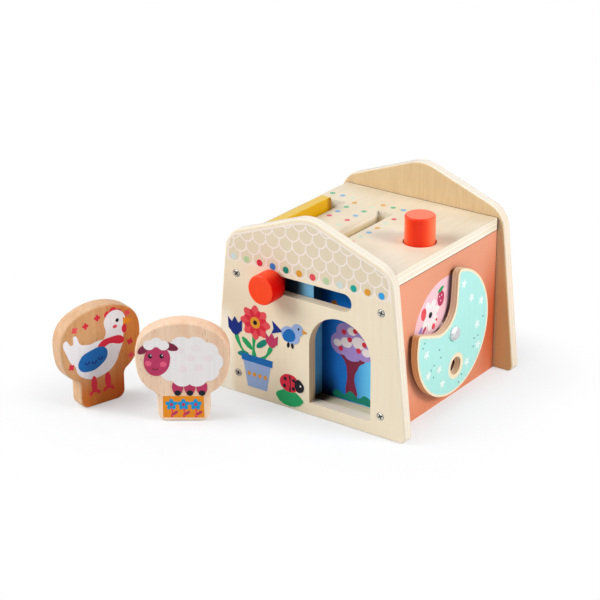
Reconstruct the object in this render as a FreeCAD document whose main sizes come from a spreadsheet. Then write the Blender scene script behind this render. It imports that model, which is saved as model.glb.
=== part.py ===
import FreeCAD, Part
import math
import os
import re

import Sketcher
from FreeCAD import Placement, Rotation, Vector

# Wooden pop-up farmhouse with two loose animal figures, in millimetres.
# +Z is up, +X is the disc side, -Y is the front gable.  The origin lies on the
# table, under the middle of the house.

SIZES = [
    # The house shell
    ("inner_depth", 143.0, "between the two gables"),
    ("gable_thickness", 9.0, "plywood of the gables"),
    ("base_half_width", 88.0, "gable, from the middle to its bottom corner"),
    ("shoulder_half_width", 74.1, "gable, to the corner under the roof slope, before rounding"),
    ("shoulder_height", 130.6, "height of that corner"),
    ("peak_height", 158.1, "height of the gable's peak, before rounding"),
    ("base_corner_radius", 5.0, "rounding of the bottom corners"),
    ("shoulder_radius", 20.0, "rounding of the shoulders"),
    ("peak_radius", 30.0, "rounding of the peak"),
    ("gable_edge_radius", 1.5, "sanded edge of the gables"),
    ("wall_outer_half", 69.7, "middle of the house to a side wall's outer face"),
    ("wall_thickness", 9.0, "plywood of the side walls"),
    ("roof_top", 125.8, "height of the flat roof"),
    ("roof_thickness", 9.9, "plywood of the roof board"),
    ("roof_overhang", 0.7, "roof board beyond the side walls"),
    ("roof_edge_radius", 1.2, "sanded long edges of the roof board"),
    ("floor_thickness", 10.4, "board that stands flush with the walls' lower edges"),
    ("seat_gap", 0.05, "round anything fixed in a hole"),
    # Screws through the gables into the side walls
    ("low_screw_height", 17.0, "lower screws"),
    ("high_screw_drop", 26.8, "roof's top to the upper screws"),
    ("screw_head_diameter", 6.4, "countersunk head"),
    ("screw_head_height", 1.9, "its depth"),
    ("screw_shank_diameter", 3.2, "shank"),
    ("screw_length", 30.0, "whole screw"),
    ("screw_tip_height", 3.0, "pointed tip"),
    # The doorway and the slot above it
    ("arch_centre", 29.1, "middle of the arched doorway"),
    ("arch_half_width", 27.5, "half its width, and the radius of its top"),
    ("lintel_height", 7.4, "wood between the doorway and the slot above it"),
    ("knob_slot_half_length", 39.6, "slot for the door knob, half its length"),
    ("knob_slot_drop", 26.6, "roof's top to the middle of the slot"),
    ("knob_slot_radius", 7.1, "half its width"),
    # The sliding door, its knob and the picture board behind it
    ("door_groove_depth", 1.4, "groove in the front gable's back that the door runs in"),
    ("door_play", 0.4, "in front of the door and behind it"),
    ("door_thickness", 10.6, "door board"),
    ("door_width", 60.4, "door board"),
    ("door_end_gap", 0.5, "to the side wall when the door stands open"),
    ("door_edge_gap", 0.5, "above and below the door"),
    ("door_corner_radius", 2.0, "rounded corners of the door"),
    ("backdrop_thickness", 3.0, "picture board"),
    ("knob_diameter", 23.4, "turned knob of the door"),
    ("knob_length", 15.6, "its head"),
    ("knob_standoff", 1.3, "gap between the head and the gable"),
    ("knob_neck_diameter", 10.0, "its neck, which passes the slot"),
    ("knob_seat_depth", 4.0, "blind hole for the neck in the door"),
    ("knob_rim_radius", 1.5, "rounded front rim"),
    ("knob_screw_diameter", 3.5, "screw from the back of the door into the knob"),
    ("knob_screw_head_diameter", 7.0, "its head"),
    ("knob_screw_head_height", 2.2, "depth of its head"),
    ("knob_screw_length", 20.0, "whole screw"),
    # Slots in the roof and the two boards that rise and fall in them
    ("roof_slot_width", 14.6, "takes a figure with little play"),
    ("roof_slot_start", 13.5, "from the front gable's back face"),
    ("roof_slot_length", 90.0, "along the house"),
    ("left_slot_centre", -51.3, "across the house"),
    ("right_slot_centre", -6.5, "across the house"),
    ("lifter_thickness", 9.1, "rising board"),
    ("lifter_length", 73.3, "along the slot"),
    ("lifter_height", 58.5, "rising board"),
    ("lifter_start_gap", 1.0, "from the slot's front end"),
    ("lifter_rise", 8.7, "a raised board's top above the roof"),
    ("lifter_travel", 20.0, "from raised to lowered"),
    ("lifter_edge_radius", 1.5, "rounded upper edges"),
    ("lifter_foot_chamfer", 3.3, "bevels that leave the rocker's flanks free"),
    ("guide_dowel_diameter", 6.0, "cross dowels that guide the boards"),
    ("guide_dowel_drop", 37.8, "roof's top to the cross dowels"),
    ("guide_dowel_inset", 15.0, "from each end of a board"),
    ("guide_slot_gap", 0.3, "round a dowel in a board's upright slot"),
    ("dowel_seat_depth", 5.0, "blind hole that holds a cross dowel"),
    ("spacer_diameter", 12.0, "spacer tubes on the cross dowels"),
    ("spacer_gap", 0.3, "between a tube and a board"),
    ("partition_left", 4.0, "left face of the inner partition"),
    ("partition_thickness", 9.0, "plywood of the partition"),
    # The rocker under the two boards
    ("rocker_thickness", 14.0, "along its axle"),
    ("rocker_tip_radius", 4.0, "round ends that push the boards"),
    ("rocker_hub_radius", 7.0, "round its axle"),
    ("rocker_tip_gap", 0.5, "between an end and its board"),
    ("axle_diameter", 6.0, "beech dowel, as the guides"),
    ("axle_running_gap", 0.05, "round the axle in the rocker"),
    ("bracket_thickness", 9.0, "each bracket"),
    ("bracket_foot_width", 40.0, "on the floor board"),
    ("bracket_head_radius", 10.0, "round top of a bracket"),
    ("bracket_side_gap", 0.5, "between the rocker and a bracket"),
    ("bracket_screw_spacing", 26.0, "two screws under each bracket"),
    ("bracket_screw_length", 22.0, "whole screw"),
    # The push button, its crossbar and the squeaker under it
    ("button_x", 48.1, "across the house"),
    ("button_from_front", 76.1, "behind the house's front face"),
    ("button_diameter", 23.2, "turned button"),
    ("button_hole_diameter", 25.6, "hole in the roof"),
    ("button_rise", 21.5, "button above the roof"),
    ("button_rim_radius", 1.6, "rounded upper rim"),
    ("crossbar_length", 44.0, "bar that holds the button in"),
    ("crossbar_width", 22.0, "across the house"),
    ("crossbar_thickness", 6.0, "bar"),
    ("crossbar_corner_radius", 10.0, "its rounded ends"),
    ("crossbar_gap", 0.3, "under the roof board"),
    ("button_travel", 12.0, "how far it goes down"),
    ("button_screw_length", 22.0, "screw through the crossbar"),
    ("bellows_diameter", 21.6, "over its folds"),
    ("bellows_waist_diameter", 16.0, "between its folds"),
    ("bellows_folds", 4.0, "number of folds"),
    ("bellows_wall", 1.2, "rubber"),
    ("bellows_gap", 0.3, "under the crossbar"),
    ("shelf_top", 79.3, "height of the shelf that carries the squeaker"),
    ("shelf_thickness", 6.0, "plywood under the squeaker"),
    ("shelf_length", 52.0, "along the house"),
    ("reed_diameter", 8.0, "whistle plug in the bellows' foot"),
    ("reed_flange_diameter", 11.0, "its collar under the shelf"),
    ("reed_bore_diameter", 3.0, "air hole"),
    # The turning picture disc on the right wall
    ("disc_from_front", 78.2, "its middle, behind the house's front face"),
    ("disc_height", 58.4, "its middle, above the table"),
    ("disc_radius", 49.5, "outer edge"),
    ("disc_thickness", 6.1, "plywood"),
    ("disc_standoff", 2.4, "washer between the wall and the disc"),
    ("disc_edge_radius", 0.5, "sanded edge"),
    ("disc_angle", 4.3, "how far the disc is turned in the stored pose, in degrees"),
    ("notch_side", 1.8, "upright side of the cut-out, from the middle"),
    ("notch_floor", -1.6, "lower side of the cut-out where it would meet the upright one"),
    ("notch_angle", 14.2, "how far the lower side rises outward, in degrees"),
    ("notch_corner_radius", 20.4, "inner corner of the cut-out"),
    ("notch_tip_radius", 5.0, "upper outer corner of the cut-out"),
    ("notch_toe_radius", 2.5, "lower outer corner of the cut-out"),
    ("finger_hole_x", 6.4, "finger hole, from the middle"),
    ("finger_hole_y", -28.0, "finger hole, from the middle"),
    ("finger_hole_radius", 7.0, "finger hole"),
    ("pivot_diameter", 6.0, "shank of the pivot bolt"),
    ("pivot_running_gap", 0.05, "round the shank in the disc"),
    ("pivot_side_gap", 0.3, "between the disc and the bolt's head"),
    ("pivot_head_diameter", 11.4, "domed head"),
    ("pivot_head_height", 3.2, "domed head"),
    ("pivot_dome_radius", 2.88, "rounding of the domed head"),
    ("washer_diameter", 18.0, "washer behind the disc"),
    ("nut_width", 10.0, "hexagon nut, across its flats"),
    ("nut_height", 5.0, "hexagon nut"),
    ("bolt_end", 1.5, "bolt beyond the nut"),
    # The two loose figures
    ("figure_thickness", 13.8, "plain beech board"),
    ("figure_height", 80.6, "foot to crown"),
    ("head_half_width", 34.9, "widest part of the head"),
    ("head_level", 52.3, "height of the widest part"),
    ("crown_radius", 48.0, "top of the head"),
    ("temple_radius", 22.0, "upper corners of the head"),
    ("cheek_radius", 60.0, "sides of the head"),
    ("jaw_radius", 24.0, "lower corners of the head"),
    ("jaw_level", 44.8, "height of the lower corners' centre"),
    ("neck_radius", 6.0, "hollow between head and foot"),
    ("foot_half_width", 19.5, "foot"),
    ("foot_corner_radius", 7.0, "lower corners of the foot"),
    ("figure_edge_radius", 2.2, "sanded edge"),
    ("sheep_x", -68.3, "middle of the front lower edge"),
    ("sheep_y", -143.0, "middle of the front lower edge"),
    ("sheep_angle", 35.4, "how far it is turned to the right, in degrees"),
    ("chicken_x", -136.8, "middle of the front lower edge"),
    ("chicken_y", -154.6, "middle of the front lower edge"),
    ("chicken_angle", 73.0, "how far it is turned to the right, in degrees"),
]

# Places that follow from the sizes, each written once.
PLACES = {
    "front_face": "-inner_depth / 2 - gable_thickness",
    "bay_front": "-inner_depth / 2",
    "bay_rear": "inner_depth / 2",
    "wall_inner_half": "wall_outer_half - wall_thickness",
    "screw_hole_radius": "screw_shank_diameter / 2 + seat_gap",
    "screw_seat_radius": "screw_head_diameter / 2 + seat_gap",
    "wall_middle": "wall_outer_half - wall_thickness / 2",
    "roof_under": "roof_top - roof_thickness",
    "high_screw_height": "roof_top - high_screw_drop",
    "knob_slot_height": "roof_top - knob_slot_drop",
    "arch_top": "knob_slot_height - knob_slot_radius - lintel_height",
    "arch_spring_height": "arch_top - arch_half_width",
    "guide_dowel_height": "roof_top - guide_dowel_drop",
    "roof_half_width": "wall_outer_half + roof_overhang",
    "door_front": "bay_front - door_groove_depth + door_play",
    "door_bottom": "floor_top + door_edge_gap",
    "door_height": "roof_under - floor_top - 2 * door_edge_gap",
    "door_left": "door_end_gap - wall_inner_half",
    "door_middle": "door_left + door_width / 2",
    "backdrop_front": "door_front + door_thickness + door_play",
    "bay_start": "backdrop_front + backdrop_thickness",
    "knob_back": "front_face - knob_standoff",
    "knob_neck_end": "door_front + knob_seat_depth",
    "slot_front": "bay_front + roof_slot_start",
    "slot_rear": "slot_front + roof_slot_length",
    "lifter_front": "slot_front + lifter_start_gap",
    "lifter_middle": "lifter_front + lifter_length / 2",
    "raised_bottom": "roof_top + lifter_rise - lifter_height",
    "guide_slot_radius": "guide_dowel_diameter / 2 + guide_slot_gap",
    "guide_slot_low": "guide_dowel_height - raised_bottom",
    "guide_slot_high": "guide_slot_low + lifter_travel",
    "guide_dowel_start": "-wall_inner_half - dowel_seat_depth",
    "partition_right": "partition_left + partition_thickness",
    "rocker_arm": "(right_slot_centre - left_slot_centre) / 2",
    "rocker_x": "(right_slot_centre + left_slot_centre) / 2",
    "rocker_z": "raised_bottom - lifter_travel / 2 - rocker_tip_radius - rocker_tip_gap",
    "rocker_front": "lifter_middle - rocker_thickness / 2",
    "rocker_rear": "lifter_middle + rocker_thickness / 2",
    "front_bracket": "rocker_front - bracket_side_gap - bracket_thickness",
    "rear_bracket": "rocker_rear + bracket_side_gap",
    "floor_top": "floor_thickness",
    "button_y": "front_face + button_from_front",
    "crossbar_top": "roof_under - crossbar_gap",
    "crossbar_under": "crossbar_top - crossbar_thickness",
    "bellows_top": "crossbar_under - bellows_gap",
    "bellows_height": "bellows_top - shelf_top",
    "disc_y": "front_face + disc_from_front",
    "disc_back": "wall_outer_half + disc_standoff",
    "disc_face": "disc_back + disc_thickness",
    "nut_left": "wall_inner_half - nut_height",
}

doc = FreeCAD.newDocument("pop_up_farmhouse")
sheet = doc.addObject("Spreadsheet::Sheet", "sizes")
for row, (alias, value, meaning) in enumerate(SIZES, 1):
    sheet.set("A%d" % row, alias)
    sheet.set("B%d" % row, str(value))
    sheet.set("C%d" % row, meaning)
    sheet.setAlias("B%d" % row, alias)
doc.recompute()

ALIASES = {alias for alias, value, meaning in SIZES}
NEAR = 1e-4  # places closer than this are the same
pieces = []


def spell(words):
    """Writes an expression out in the spreadsheet's own aliases."""
    def word(match):
        name = match.group(0)
        if name in PLACES:
            return "(" + spell(PLACES[name]) + ")"
        return "sizes." + name if name in ALIASES else name
    return re.sub(r"[a-z]\w*", word, words)


def num(words):
    """Gives an expression's present value."""
    return float(doc.getObject("sizes").evalExpression(spell(words).replace("sizes.", "")))


def bind(thing, where, words):
    """Ties one property of an object to the spreadsheet."""
    thing.setExpression(where, spell(words))


def place(thing, x="0", y="0", z="0", axis=(0, 0, 1), turn="0"):
    """Puts a piece where expressions say, turned about one axis by some degrees."""
    thing.Placement = Placement(Vector(num(x), num(y), num(z)), Rotation(Vector(*axis), num(turn)))
    bind(thing, "Placement.Base.x", x)
    bind(thing, "Placement.Base.y", y)
    bind(thing, "Placement.Base.z", z)
    bind(thing, "Placement.Rotation.Angle", turn)
    return thing


def new_body(label):
    body = doc.addObject("PartDesign::Body", label)
    body.Label = label
    doc.recompute()
    pieces.append(body)
    return body


def new_sketch(body, plane, height="0"):
    """Starts a sketch on one of the body's own planes, raised along its normal."""
    sketch = body.newObject("Sketcher::SketchObject", "sketch")
    support = [part for part in body.Origin.OriginFeatures if part.Role == plane][0]
    sketch.AttachmentSupport = [(support, "")]
    sketch.MapMode = "FlatFace"
    bind(sketch, "AttachmentOffset.Base.z", height)
    return sketch


def hold(sketch, kind, words, *where):
    """Adds a dimension and ties it to the spreadsheet."""
    index = sketch.addConstraint(Sketcher.Constraint(kind, *where, num(words)))
    bind(sketch, "Constraints[%d]" % index, words)


def hold_point(sketch, geometry, end, x, y):
    hold(sketch, "DistanceX", x, -1, 1, geometry, end)
    hold(sketch, "DistanceY", y, -1, 1, geometry, end)


def polygon(sketch, corners):
    """Draws a closed outline of straight lines; each corner is held by two expressions."""
    first = sketch.GeometryCount
    points = [Vector(num(x), num(y), 0) for x, y in corners]
    count = len(points)
    for index in range(count):
        sketch.addGeometry(Part.LineSegment(points[index], points[(index + 1) % count]), False)
    for index in range(count):
        after = first + (index + 1) % count
        sketch.addConstraint(Sketcher.Constraint("Coincident", first + index, 2, after, 1))
    for index, (x, y) in enumerate(corners):
        hold_point(sketch, first + index, 1, x, y)


def rectangle(sketch, left, right, low, high):
    polygon(sketch, [(left, low), (right, low), (right, high), (left, high)])


def circle(sketch, x, y, radius):
    index = sketch.addGeometry(Part.Circle(Vector(num(x), num(y), 0), Vector(0, 0, 1), num(radius)), False)
    hold_point(sketch, index, 3, x, y)
    hold(sketch, "Radius", radius, index)


def arc(sketch, centre, radius, start, end):
    """Draws an arc from one angle to another, in radians, counter-clockwise."""
    ring = Part.Circle(Vector(centre[0], centre[1], 0), Vector(0, 0, 1), radius)
    return sketch.addGeometry(Part.ArcOfCircle(ring, start, end), False)


def slot(sketch, first, second, radius):
    """Draws a slot with round ends about two centres that lie along X or along Y."""
    (x0, y0), (x1, y1) = [(num(x), num(y)) for x, y in (first, second)]
    heading = math.atan2(y1 - y0, x1 - x0)
    width = num(radius)
    side = Vector(-math.sin(heading), math.cos(heading), 0) * width
    begin, finish = Vector(x0, y0, 0), Vector(x1, y1, 0)
    cap0 = arc(sketch, (x0, y0), width, heading + math.pi / 2, heading + 3 * math.pi / 2)
    low = sketch.addGeometry(Part.LineSegment(begin - side, finish - side), False)
    cap1 = arc(sketch, (x1, y1), width, heading - math.pi / 2, heading + math.pi / 2)
    high = sketch.addGeometry(Part.LineSegment(finish + side, begin + side), False)
    for one, end, other, start in (
            (cap0, 2, low, 1), (low, 2, cap1, 1), (cap1, 2, high, 1), (high, 2, cap0, 1)):
        sketch.addConstraint(Sketcher.Constraint("Tangent", one, end, other, start))
    hold_point(sketch, cap0, 3, *first)
    hold_point(sketch, cap1, 3, *second)
    hold(sketch, "Radius", radius, cap0)
    sketch.addConstraint(Sketcher.Constraint("Equal", cap0, cap1))


def pad(body, sketch, length, flip=False):
    feature = body.newObject("PartDesign::Pad", "pad")
    feature.Profile = sketch
    feature.Reversed = flip
    bind(feature, "Length", length)
    doc.recompute()
    return feature


def pocket(body, sketch, depth=None, flip=False):
    """Cuts a sketch out of the body, right through unless a depth is given."""
    before = body.Shape.Volume
    feature = body.newObject("PartDesign::Pocket", "pocket")
    feature.Profile = sketch
    feature.Reversed = flip
    if depth is None:
        feature.Type = "ThroughAll"
        feature.Midplane = True
    else:
        bind(feature, "Length", depth)
    doc.recompute()
    if body.Shape.Volume > before - 1e-6:
        raise RuntimeError("a pocket in %s cuts nothing" % body.Label)
    return feature


def countersink(body, sketch, x, face, inward, seat_radius="screw_seat_radius", hole_radius="screw_hole_radius",
                depth="screw_head_height"):
    """Cuts a cone seat for a screw's head; the sketch's vertical direction is the screw's own."""
    bottom = "(%s) + (%s) * (%s)" % (face, inward, depth)
    polygon(sketch, [(x, face), ("(%s) + (%s)" % (x, seat_radius), face),
                     ("(%s) + (%s)" % (x, hole_radius), bottom), (x, bottom)])
    before = body.Shape.Volume
    feature = body.newObject("PartDesign::Groove", "countersink")
    feature.Profile = sketch
    feature.ReferenceAxis = (sketch, ["Edge4"])
    feature.Angle = 360.0
    doc.recompute()
    if body.Shape.Volume > before - 1e-6:
        raise RuntimeError("a countersink in %s cuts nothing" % body.Label)


def revolve(body, sketch, plane_axis="V_Axis"):
    feature = body.newObject("PartDesign::Revolution", "revolution")
    feature.Profile = sketch
    feature.ReferenceAxis = (sketch, [plane_axis])
    feature.Angle = 360.0
    doc.recompute()
    return feature


def dress(body, kind, prop, size, chosen):
    """Adds a fillet or chamfer to the edges that a test picks."""
    base = body.Tip
    names = ["Edge%d" % index for index, edge in enumerate(base.Shape.Edges, 1) if chosen(edge)]
    feature = body.newObject(kind, "dressing")
    feature.Base = (base, names)
    bind(feature, prop, size)
    doc.recompute()
    return feature


def round_edges(body, radius, chosen):
    return dress(body, "PartDesign::Fillet", "Radius", radius, chosen)


def bevel_edges(body, size, chosen):
    return dress(body, "PartDesign::Chamfer", "Size", size, chosen)


def along(edge, direction):
    """True for a straight edge parallel to a direction."""
    if len(edge.Vertexes) != 2 or edge.Curve.TypeId != "Part::GeomLine":
        return False
    run = edge.Vertexes[1].Point - edge.Vertexes[0].Point
    return run.cross(Vector(*direction)).Length < 1e-6 * run.Length + 1e-9


def in_plane(edge, axis, level):
    """True for an edge that lies in a plane square to one axis."""
    box = edge.BoundBox
    low, high = ((box.XMin, box.XMax), (box.YMin, box.YMax), (box.ZMin, box.ZMax))[axis]
    return abs(low - level) < NEAR and abs(high - level) < NEAR


def board(label, width, depth, thickness, x, y, z):
    """A rectangular board lying flat, centred on its own origin."""
    body = new_body(label)
    sketch = new_sketch(body, "XY_Plane")
    rectangle(sketch, "-(%s) / 2" % width, "(%s) / 2" % width, "-(%s) / 2" % depth, "(%s) / 2" % depth)
    pad(body, sketch, thickness)
    return place(body, x, y, z)


# ---------------------------------------------------------------- the gables

def gable(label):
    """A gable board with its outside face on y = 0, holed for four screws."""
    body = new_body(label)
    outline = new_sketch(body, "XZ_Plane")
    polygon(outline, [
        ("-base_half_width", "0"), ("base_half_width", "0"),
        ("shoulder_half_width", "shoulder_height"), ("0", "peak_height"),
        ("-shoulder_half_width", "shoulder_height")])
    pad(body, outline, "gable_thickness", flip=True)
    low, high = num("base_corner_radius"), num("shoulder_height") / 2
    round_edges(body, "base_corner_radius", lambda edge: along(edge, (0, 1, 0)) and edge.BoundBox.ZMax < low)
    round_edges(body, "shoulder_radius", lambda edge: along(edge, (0, 1, 0)) and edge.BoundBox.ZMin > high
                and abs(edge.CenterOfMass.x) > low)
    peak = num("peak_height")
    round_edges(body, "peak_radius", lambda edge: along(edge, (0, 1, 0)) and edge.BoundBox.ZMax > peak - low)
    faces = (0.0, num("gable_thickness"))
    round_edges(body, "gable_edge_radius", lambda edge: any(in_plane(edge, 1, level) for level in faces))
    screws = new_sketch(body, "XZ_Plane")
    for x in ("-wall_middle", "wall_middle"):
        for height in ("low_screw_height", "high_screw_height"):
            circle(screws, x, height, "screw_hole_radius")
    pocket(body, screws)
    countersinks(body)
    return body


def countersinks(body):
    """Cuts the four cone seats of the screw heads, one groove in each half of the board."""
    for x in ("-wall_middle", "wall_middle"):
        for height in ("low_screw_height", "high_screw_height"):
            countersink(body, new_sketch(body, "XY_Plane", height), x, "0", "1")


front_gable = gable("front_gable")
doorway = new_sketch(front_gable, "XZ_Plane")
top = arc(doorway, (num("arch_centre"), num("arch_spring_height")), num("arch_half_width"), 0.0, math.pi)
sides = [
    ("arch_centre - arch_half_width", "arch_spring_height"), ("arch_centre - arch_half_width", "floor_top"),
    ("arch_centre + arch_half_width", "floor_top"), ("arch_centre + arch_half_width", "arch_spring_height")]
corners = [Vector(num(x), num(y), 0) for x, y in sides]
left, sill, right = [doorway.addGeometry(Part.LineSegment(corners[i], corners[i + 1]), False) for i in range(3)]
for one, end, other, start in ((left, 2, sill, 1), (sill, 2, right, 1)):
    doorway.addConstraint(Sketcher.Constraint("Coincident", one, end, other, start))
doorway.addConstraint(Sketcher.Constraint("Tangent", top, 2, left, 1))
doorway.addConstraint(Sketcher.Constraint("Tangent", right, 2, top, 1))
doorway.addConstraint(Sketcher.Constraint("Horizontal", sill))
doorway.addConstraint(Sketcher.Constraint("Vertical", left))
doorway.addConstraint(Sketcher.Constraint("Vertical", right))
hold_point(doorway, top, 3, "arch_centre", "arch_spring_height")
hold(doorway, "Radius", "arch_half_width", top)
hold(doorway, "DistanceY", "floor_top", -1, 1, sill, 1)
pocket(front_gable, doorway)
knob_slot = new_sketch(front_gable, "XZ_Plane")
slot(knob_slot, ("knob_slot_radius - knob_slot_half_length", "knob_slot_height"),
     ("knob_slot_half_length - knob_slot_radius", "knob_slot_height"), "knob_slot_radius")
pocket(front_gable, knob_slot)
groove = new_sketch(front_gable, "XZ_Plane", "-gable_thickness")
rectangle(groove, "-wall_inner_half", "wall_inner_half", "floor_top", "roof_under")
pocket(front_gable, groove, "door_groove_depth", flip=True)
place(front_gable, y="front_face")

rear_gable = gable("rear_gable")
place(rear_gable, y="-front_face", turn="180")

# ------------------------------------------------- walls, floor and roof

def side_wall(label, side):
    """A side wall on one side of the house, drilled at its ends for the gable screws."""
    body = new_body(label)
    face = new_sketch(body, "YZ_Plane", "-wall_thickness / 2")
    rectangle(face, "bay_front", "bay_rear", "0", "roof_under")
    pad(body, face, "wall_thickness")
    for end, flip in (("bay_front", False), ("-bay_rear", True)):
        pilots = new_sketch(body, "XZ_Plane", "-(%s)" % end if not flip else end)
        for height in ("low_screw_height", "high_screw_height"):
            circle(pilots, "0", height, "screw_hole_radius")
        pocket(body, pilots, "screw_length - gable_thickness", flip=flip)
    return place(body, x="%d * wall_middle" % side)


right_wall = side_wall("right_wall", 1)
pivot_hole = new_sketch(right_wall, "YZ_Plane")
circle(pivot_hole, "disc_y", "disc_height", "pivot_diameter / 2 + seat_gap")
pocket(right_wall, pivot_hole)

GUIDE_ENDS = ("lifter_front + guide_dowel_inset", "lifter_front + lifter_length - guide_dowel_inset")


def dowel_seats(body, height, flip):
    """Bores the two blind holes that hold the cross dowels."""
    seats = new_sketch(body, "YZ_Plane", height)
    for y in GUIDE_ENDS:
        circle(seats, y, "guide_dowel_height", "guide_dowel_diameter / 2 + seat_gap")
    pocket(body, seats, "dowel_seat_depth", flip=flip)


left_wall = side_wall("left_wall", -1)
dowel_seats(left_wall, "wall_thickness / 2", False)

floor_board = board("floor_board", "2 * wall_inner_half", "inner_depth", "floor_thickness", "0", "0", "0")
BRACKETS = ("front_bracket", "rear_bracket")
BRACKET_SCREWS = [("rocker_x + %d * bracket_screw_spacing / 2" % side, start + " + bracket_thickness / 2")
                  for start in BRACKETS for side in (-1, 1)]
screw_holes = new_sketch(floor_board, "XY_Plane")
for x, y in BRACKET_SCREWS:
    circle(screw_holes, x, y, "screw_hole_radius")
pocket(floor_board, screw_holes)
for x, y in BRACKET_SCREWS:
    countersink(floor_board, new_sketch(floor_board, "XZ_Plane", "-(%s)" % y), x, "0", "1")

roof_board = board("roof_board", "2 * roof_half_width", "inner_depth", "roof_thickness", "0", "0", "roof_under")
long_edge = num("roof_half_width")
round_edges(roof_board, "roof_edge_radius",
            lambda edge: along(edge, (0, 1, 0)) and abs(abs(edge.CenterOfMass.x) - long_edge) < NEAR)
cuts = new_sketch(roof_board, "XY_Plane")
for centre in ("left_slot_centre", "right_slot_centre"):
    rectangle(cuts, centre + " - roof_slot_width / 2", centre + " + roof_slot_width / 2",
              "slot_front", "slot_rear")
circle(cuts, "button_x", "button_y", "button_hole_diameter / 2")
pocket(roof_board, cuts)

# --------------------------------------------- the door and what is behind it

backdrop_panel = new_body("backdrop_panel")
face = new_sketch(backdrop_panel, "XZ_Plane")
rectangle(face, "-wall_inner_half", "wall_inner_half", "floor_top", "roof_under")
pad(backdrop_panel, face, "backdrop_thickness", flip=True)
place(backdrop_panel, y="backdrop_front")

sliding_door = new_body("sliding_door")
face = new_sketch(sliding_door, "XZ_Plane")
rectangle(face, "-door_width / 2", "door_width / 2", "0", "door_height")
pad(sliding_door, face, "door_thickness", flip=True)
round_edges(sliding_door, "door_corner_radius", lambda edge: along(edge, (0, 1, 0)))
neck_seat = new_sketch(sliding_door, "XZ_Plane")
circle(neck_seat, "0", "knob_slot_height - door_bottom", "knob_neck_diameter / 2 + seat_gap")
pocket(sliding_door, neck_seat, "knob_seat_depth")
screw_hole = new_sketch(sliding_door, "XZ_Plane")
circle(screw_hole, "0", "knob_slot_height - door_bottom", "knob_screw_diameter / 2 + seat_gap")
pocket(sliding_door, screw_hole)
countersink(sliding_door, new_sketch(sliding_door, "XY_Plane", "knob_slot_height - door_bottom"),
            "0", "door_thickness", "-1", "knob_screw_head_diameter / 2 + seat_gap",
            "knob_screw_diameter / 2 + seat_gap", "knob_screw_head_height")
place(sliding_door, "door_middle", "door_front", "door_bottom")

# The knob is turned in one piece with its neck, its axis along local Z.
door_knob = new_body("door_knob")
profile = new_sketch(door_knob, "XZ_Plane")
HOLLOW = "knob_screw_length - (door_thickness - knob_seat_depth)"
NECK = "knob_neck_end - knob_back"
polygon(profile, [
    ("0", HOLLOW), ("knob_screw_diameter / 2 + seat_gap", HOLLOW), ("knob_screw_diameter / 2 + seat_gap", "0"),
    ("knob_neck_diameter / 2", "0"), ("knob_neck_diameter / 2", NECK), ("knob_diameter / 2", NECK),
    ("knob_diameter / 2", NECK + " + knob_length"), ("0", NECK + " + knob_length")])
revolve(door_knob, profile)
head = (num(NECK), num(NECK + " + knob_length"))
rim = num("knob_diameter") / 2
round_edges(door_knob, "knob_rim_radius",
            lambda edge: any(in_plane(edge, 2, level) for level in head) and edge.BoundBox.XMax > rim - NEAR)
place(door_knob, "door_middle", "knob_neck_end", "knob_slot_height", (1, 0, 0), "90")

# ------------------------------------------------------------------- screws

def turned(label, profile):
    """A round piece about its own Z axis, from a closed list of radius and height pairs."""
    body = new_body(label)
    sketch = new_sketch(body, "XZ_Plane")
    polygon(sketch, profile)
    revolve(body, sketch)
    return body


def screw_profile(head, head_height, shank, length):
    return [("0", "0"), ("(%s) / 2" % head, "0"), ("(%s) / 2" % shank, head_height),
            ("(%s) / 2" % shank, "(%s) - screw_tip_height" % length), ("0", length)]


def screw_group(label, spots, axis, turn, length):
    """Identical countersunk screws as one node, each turned from the same profile."""
    group = []
    for x, y, z in spots:
        screw = doc.addObject("Part::Revolution", label + "_screw")
        outline = doc.addObject("Sketcher::SketchObject", label + "_profile")
        outline.Placement = Placement(Vector(), Rotation(Vector(1, 0, 0), 90))
        polygon(outline, screw_profile(
            "screw_head_diameter", "screw_head_height", "screw_shank_diameter", length))
        screw.Source = outline
        screw.Axis = Vector(0, 0, 1)
        screw.Solid = True
        place(screw, x, y, z, axis, turn)
        group.append(screw)
    compound = doc.addObject("Part::Compound", label)
    compound.Label = label
    compound.Links = group
    doc.recompute()
    pieces.append(compound)
    return compound


GABLE_SCREWS = [(x, height) for x in ("-wall_middle", "wall_middle")
                for height in ("low_screw_height", "high_screw_height")]
screw_group("front_screws", [(x, "front_face", z) for x, z in GABLE_SCREWS], (1, 0, 0), "-90", "screw_length")
screw_group("rear_screws", [(x, "-front_face", z) for x, z in GABLE_SCREWS], (1, 0, 0), "90", "screw_length")
screw_group("bracket_screws", [(x, y, "0") for x, y in BRACKET_SCREWS], (0, 0, 1), "0",
            "bracket_screw_length")

door_knob_screw = turned("door_knob_screw", [
    ("0", "0"), ("knob_screw_head_diameter / 2", "0"), ("knob_screw_diameter / 2", "knob_screw_head_height"),
    ("knob_screw_diameter / 2", "knob_screw_length - screw_tip_height"), ("0", "knob_screw_length")])
place(door_knob_screw, "door_middle", "door_front + door_thickness", "knob_slot_height", (1, 0, 0), "90")

# ------------------------------------- the rising boards and their guides

inner_partition = new_body("inner_partition")
face = new_sketch(inner_partition, "YZ_Plane")
rectangle(face, "bay_start", "bay_rear", "floor_top", "roof_under")
pad(inner_partition, face, "partition_thickness")
dowel_seats(inner_partition, "0", True)
place(inner_partition, "partition_left")


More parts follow.
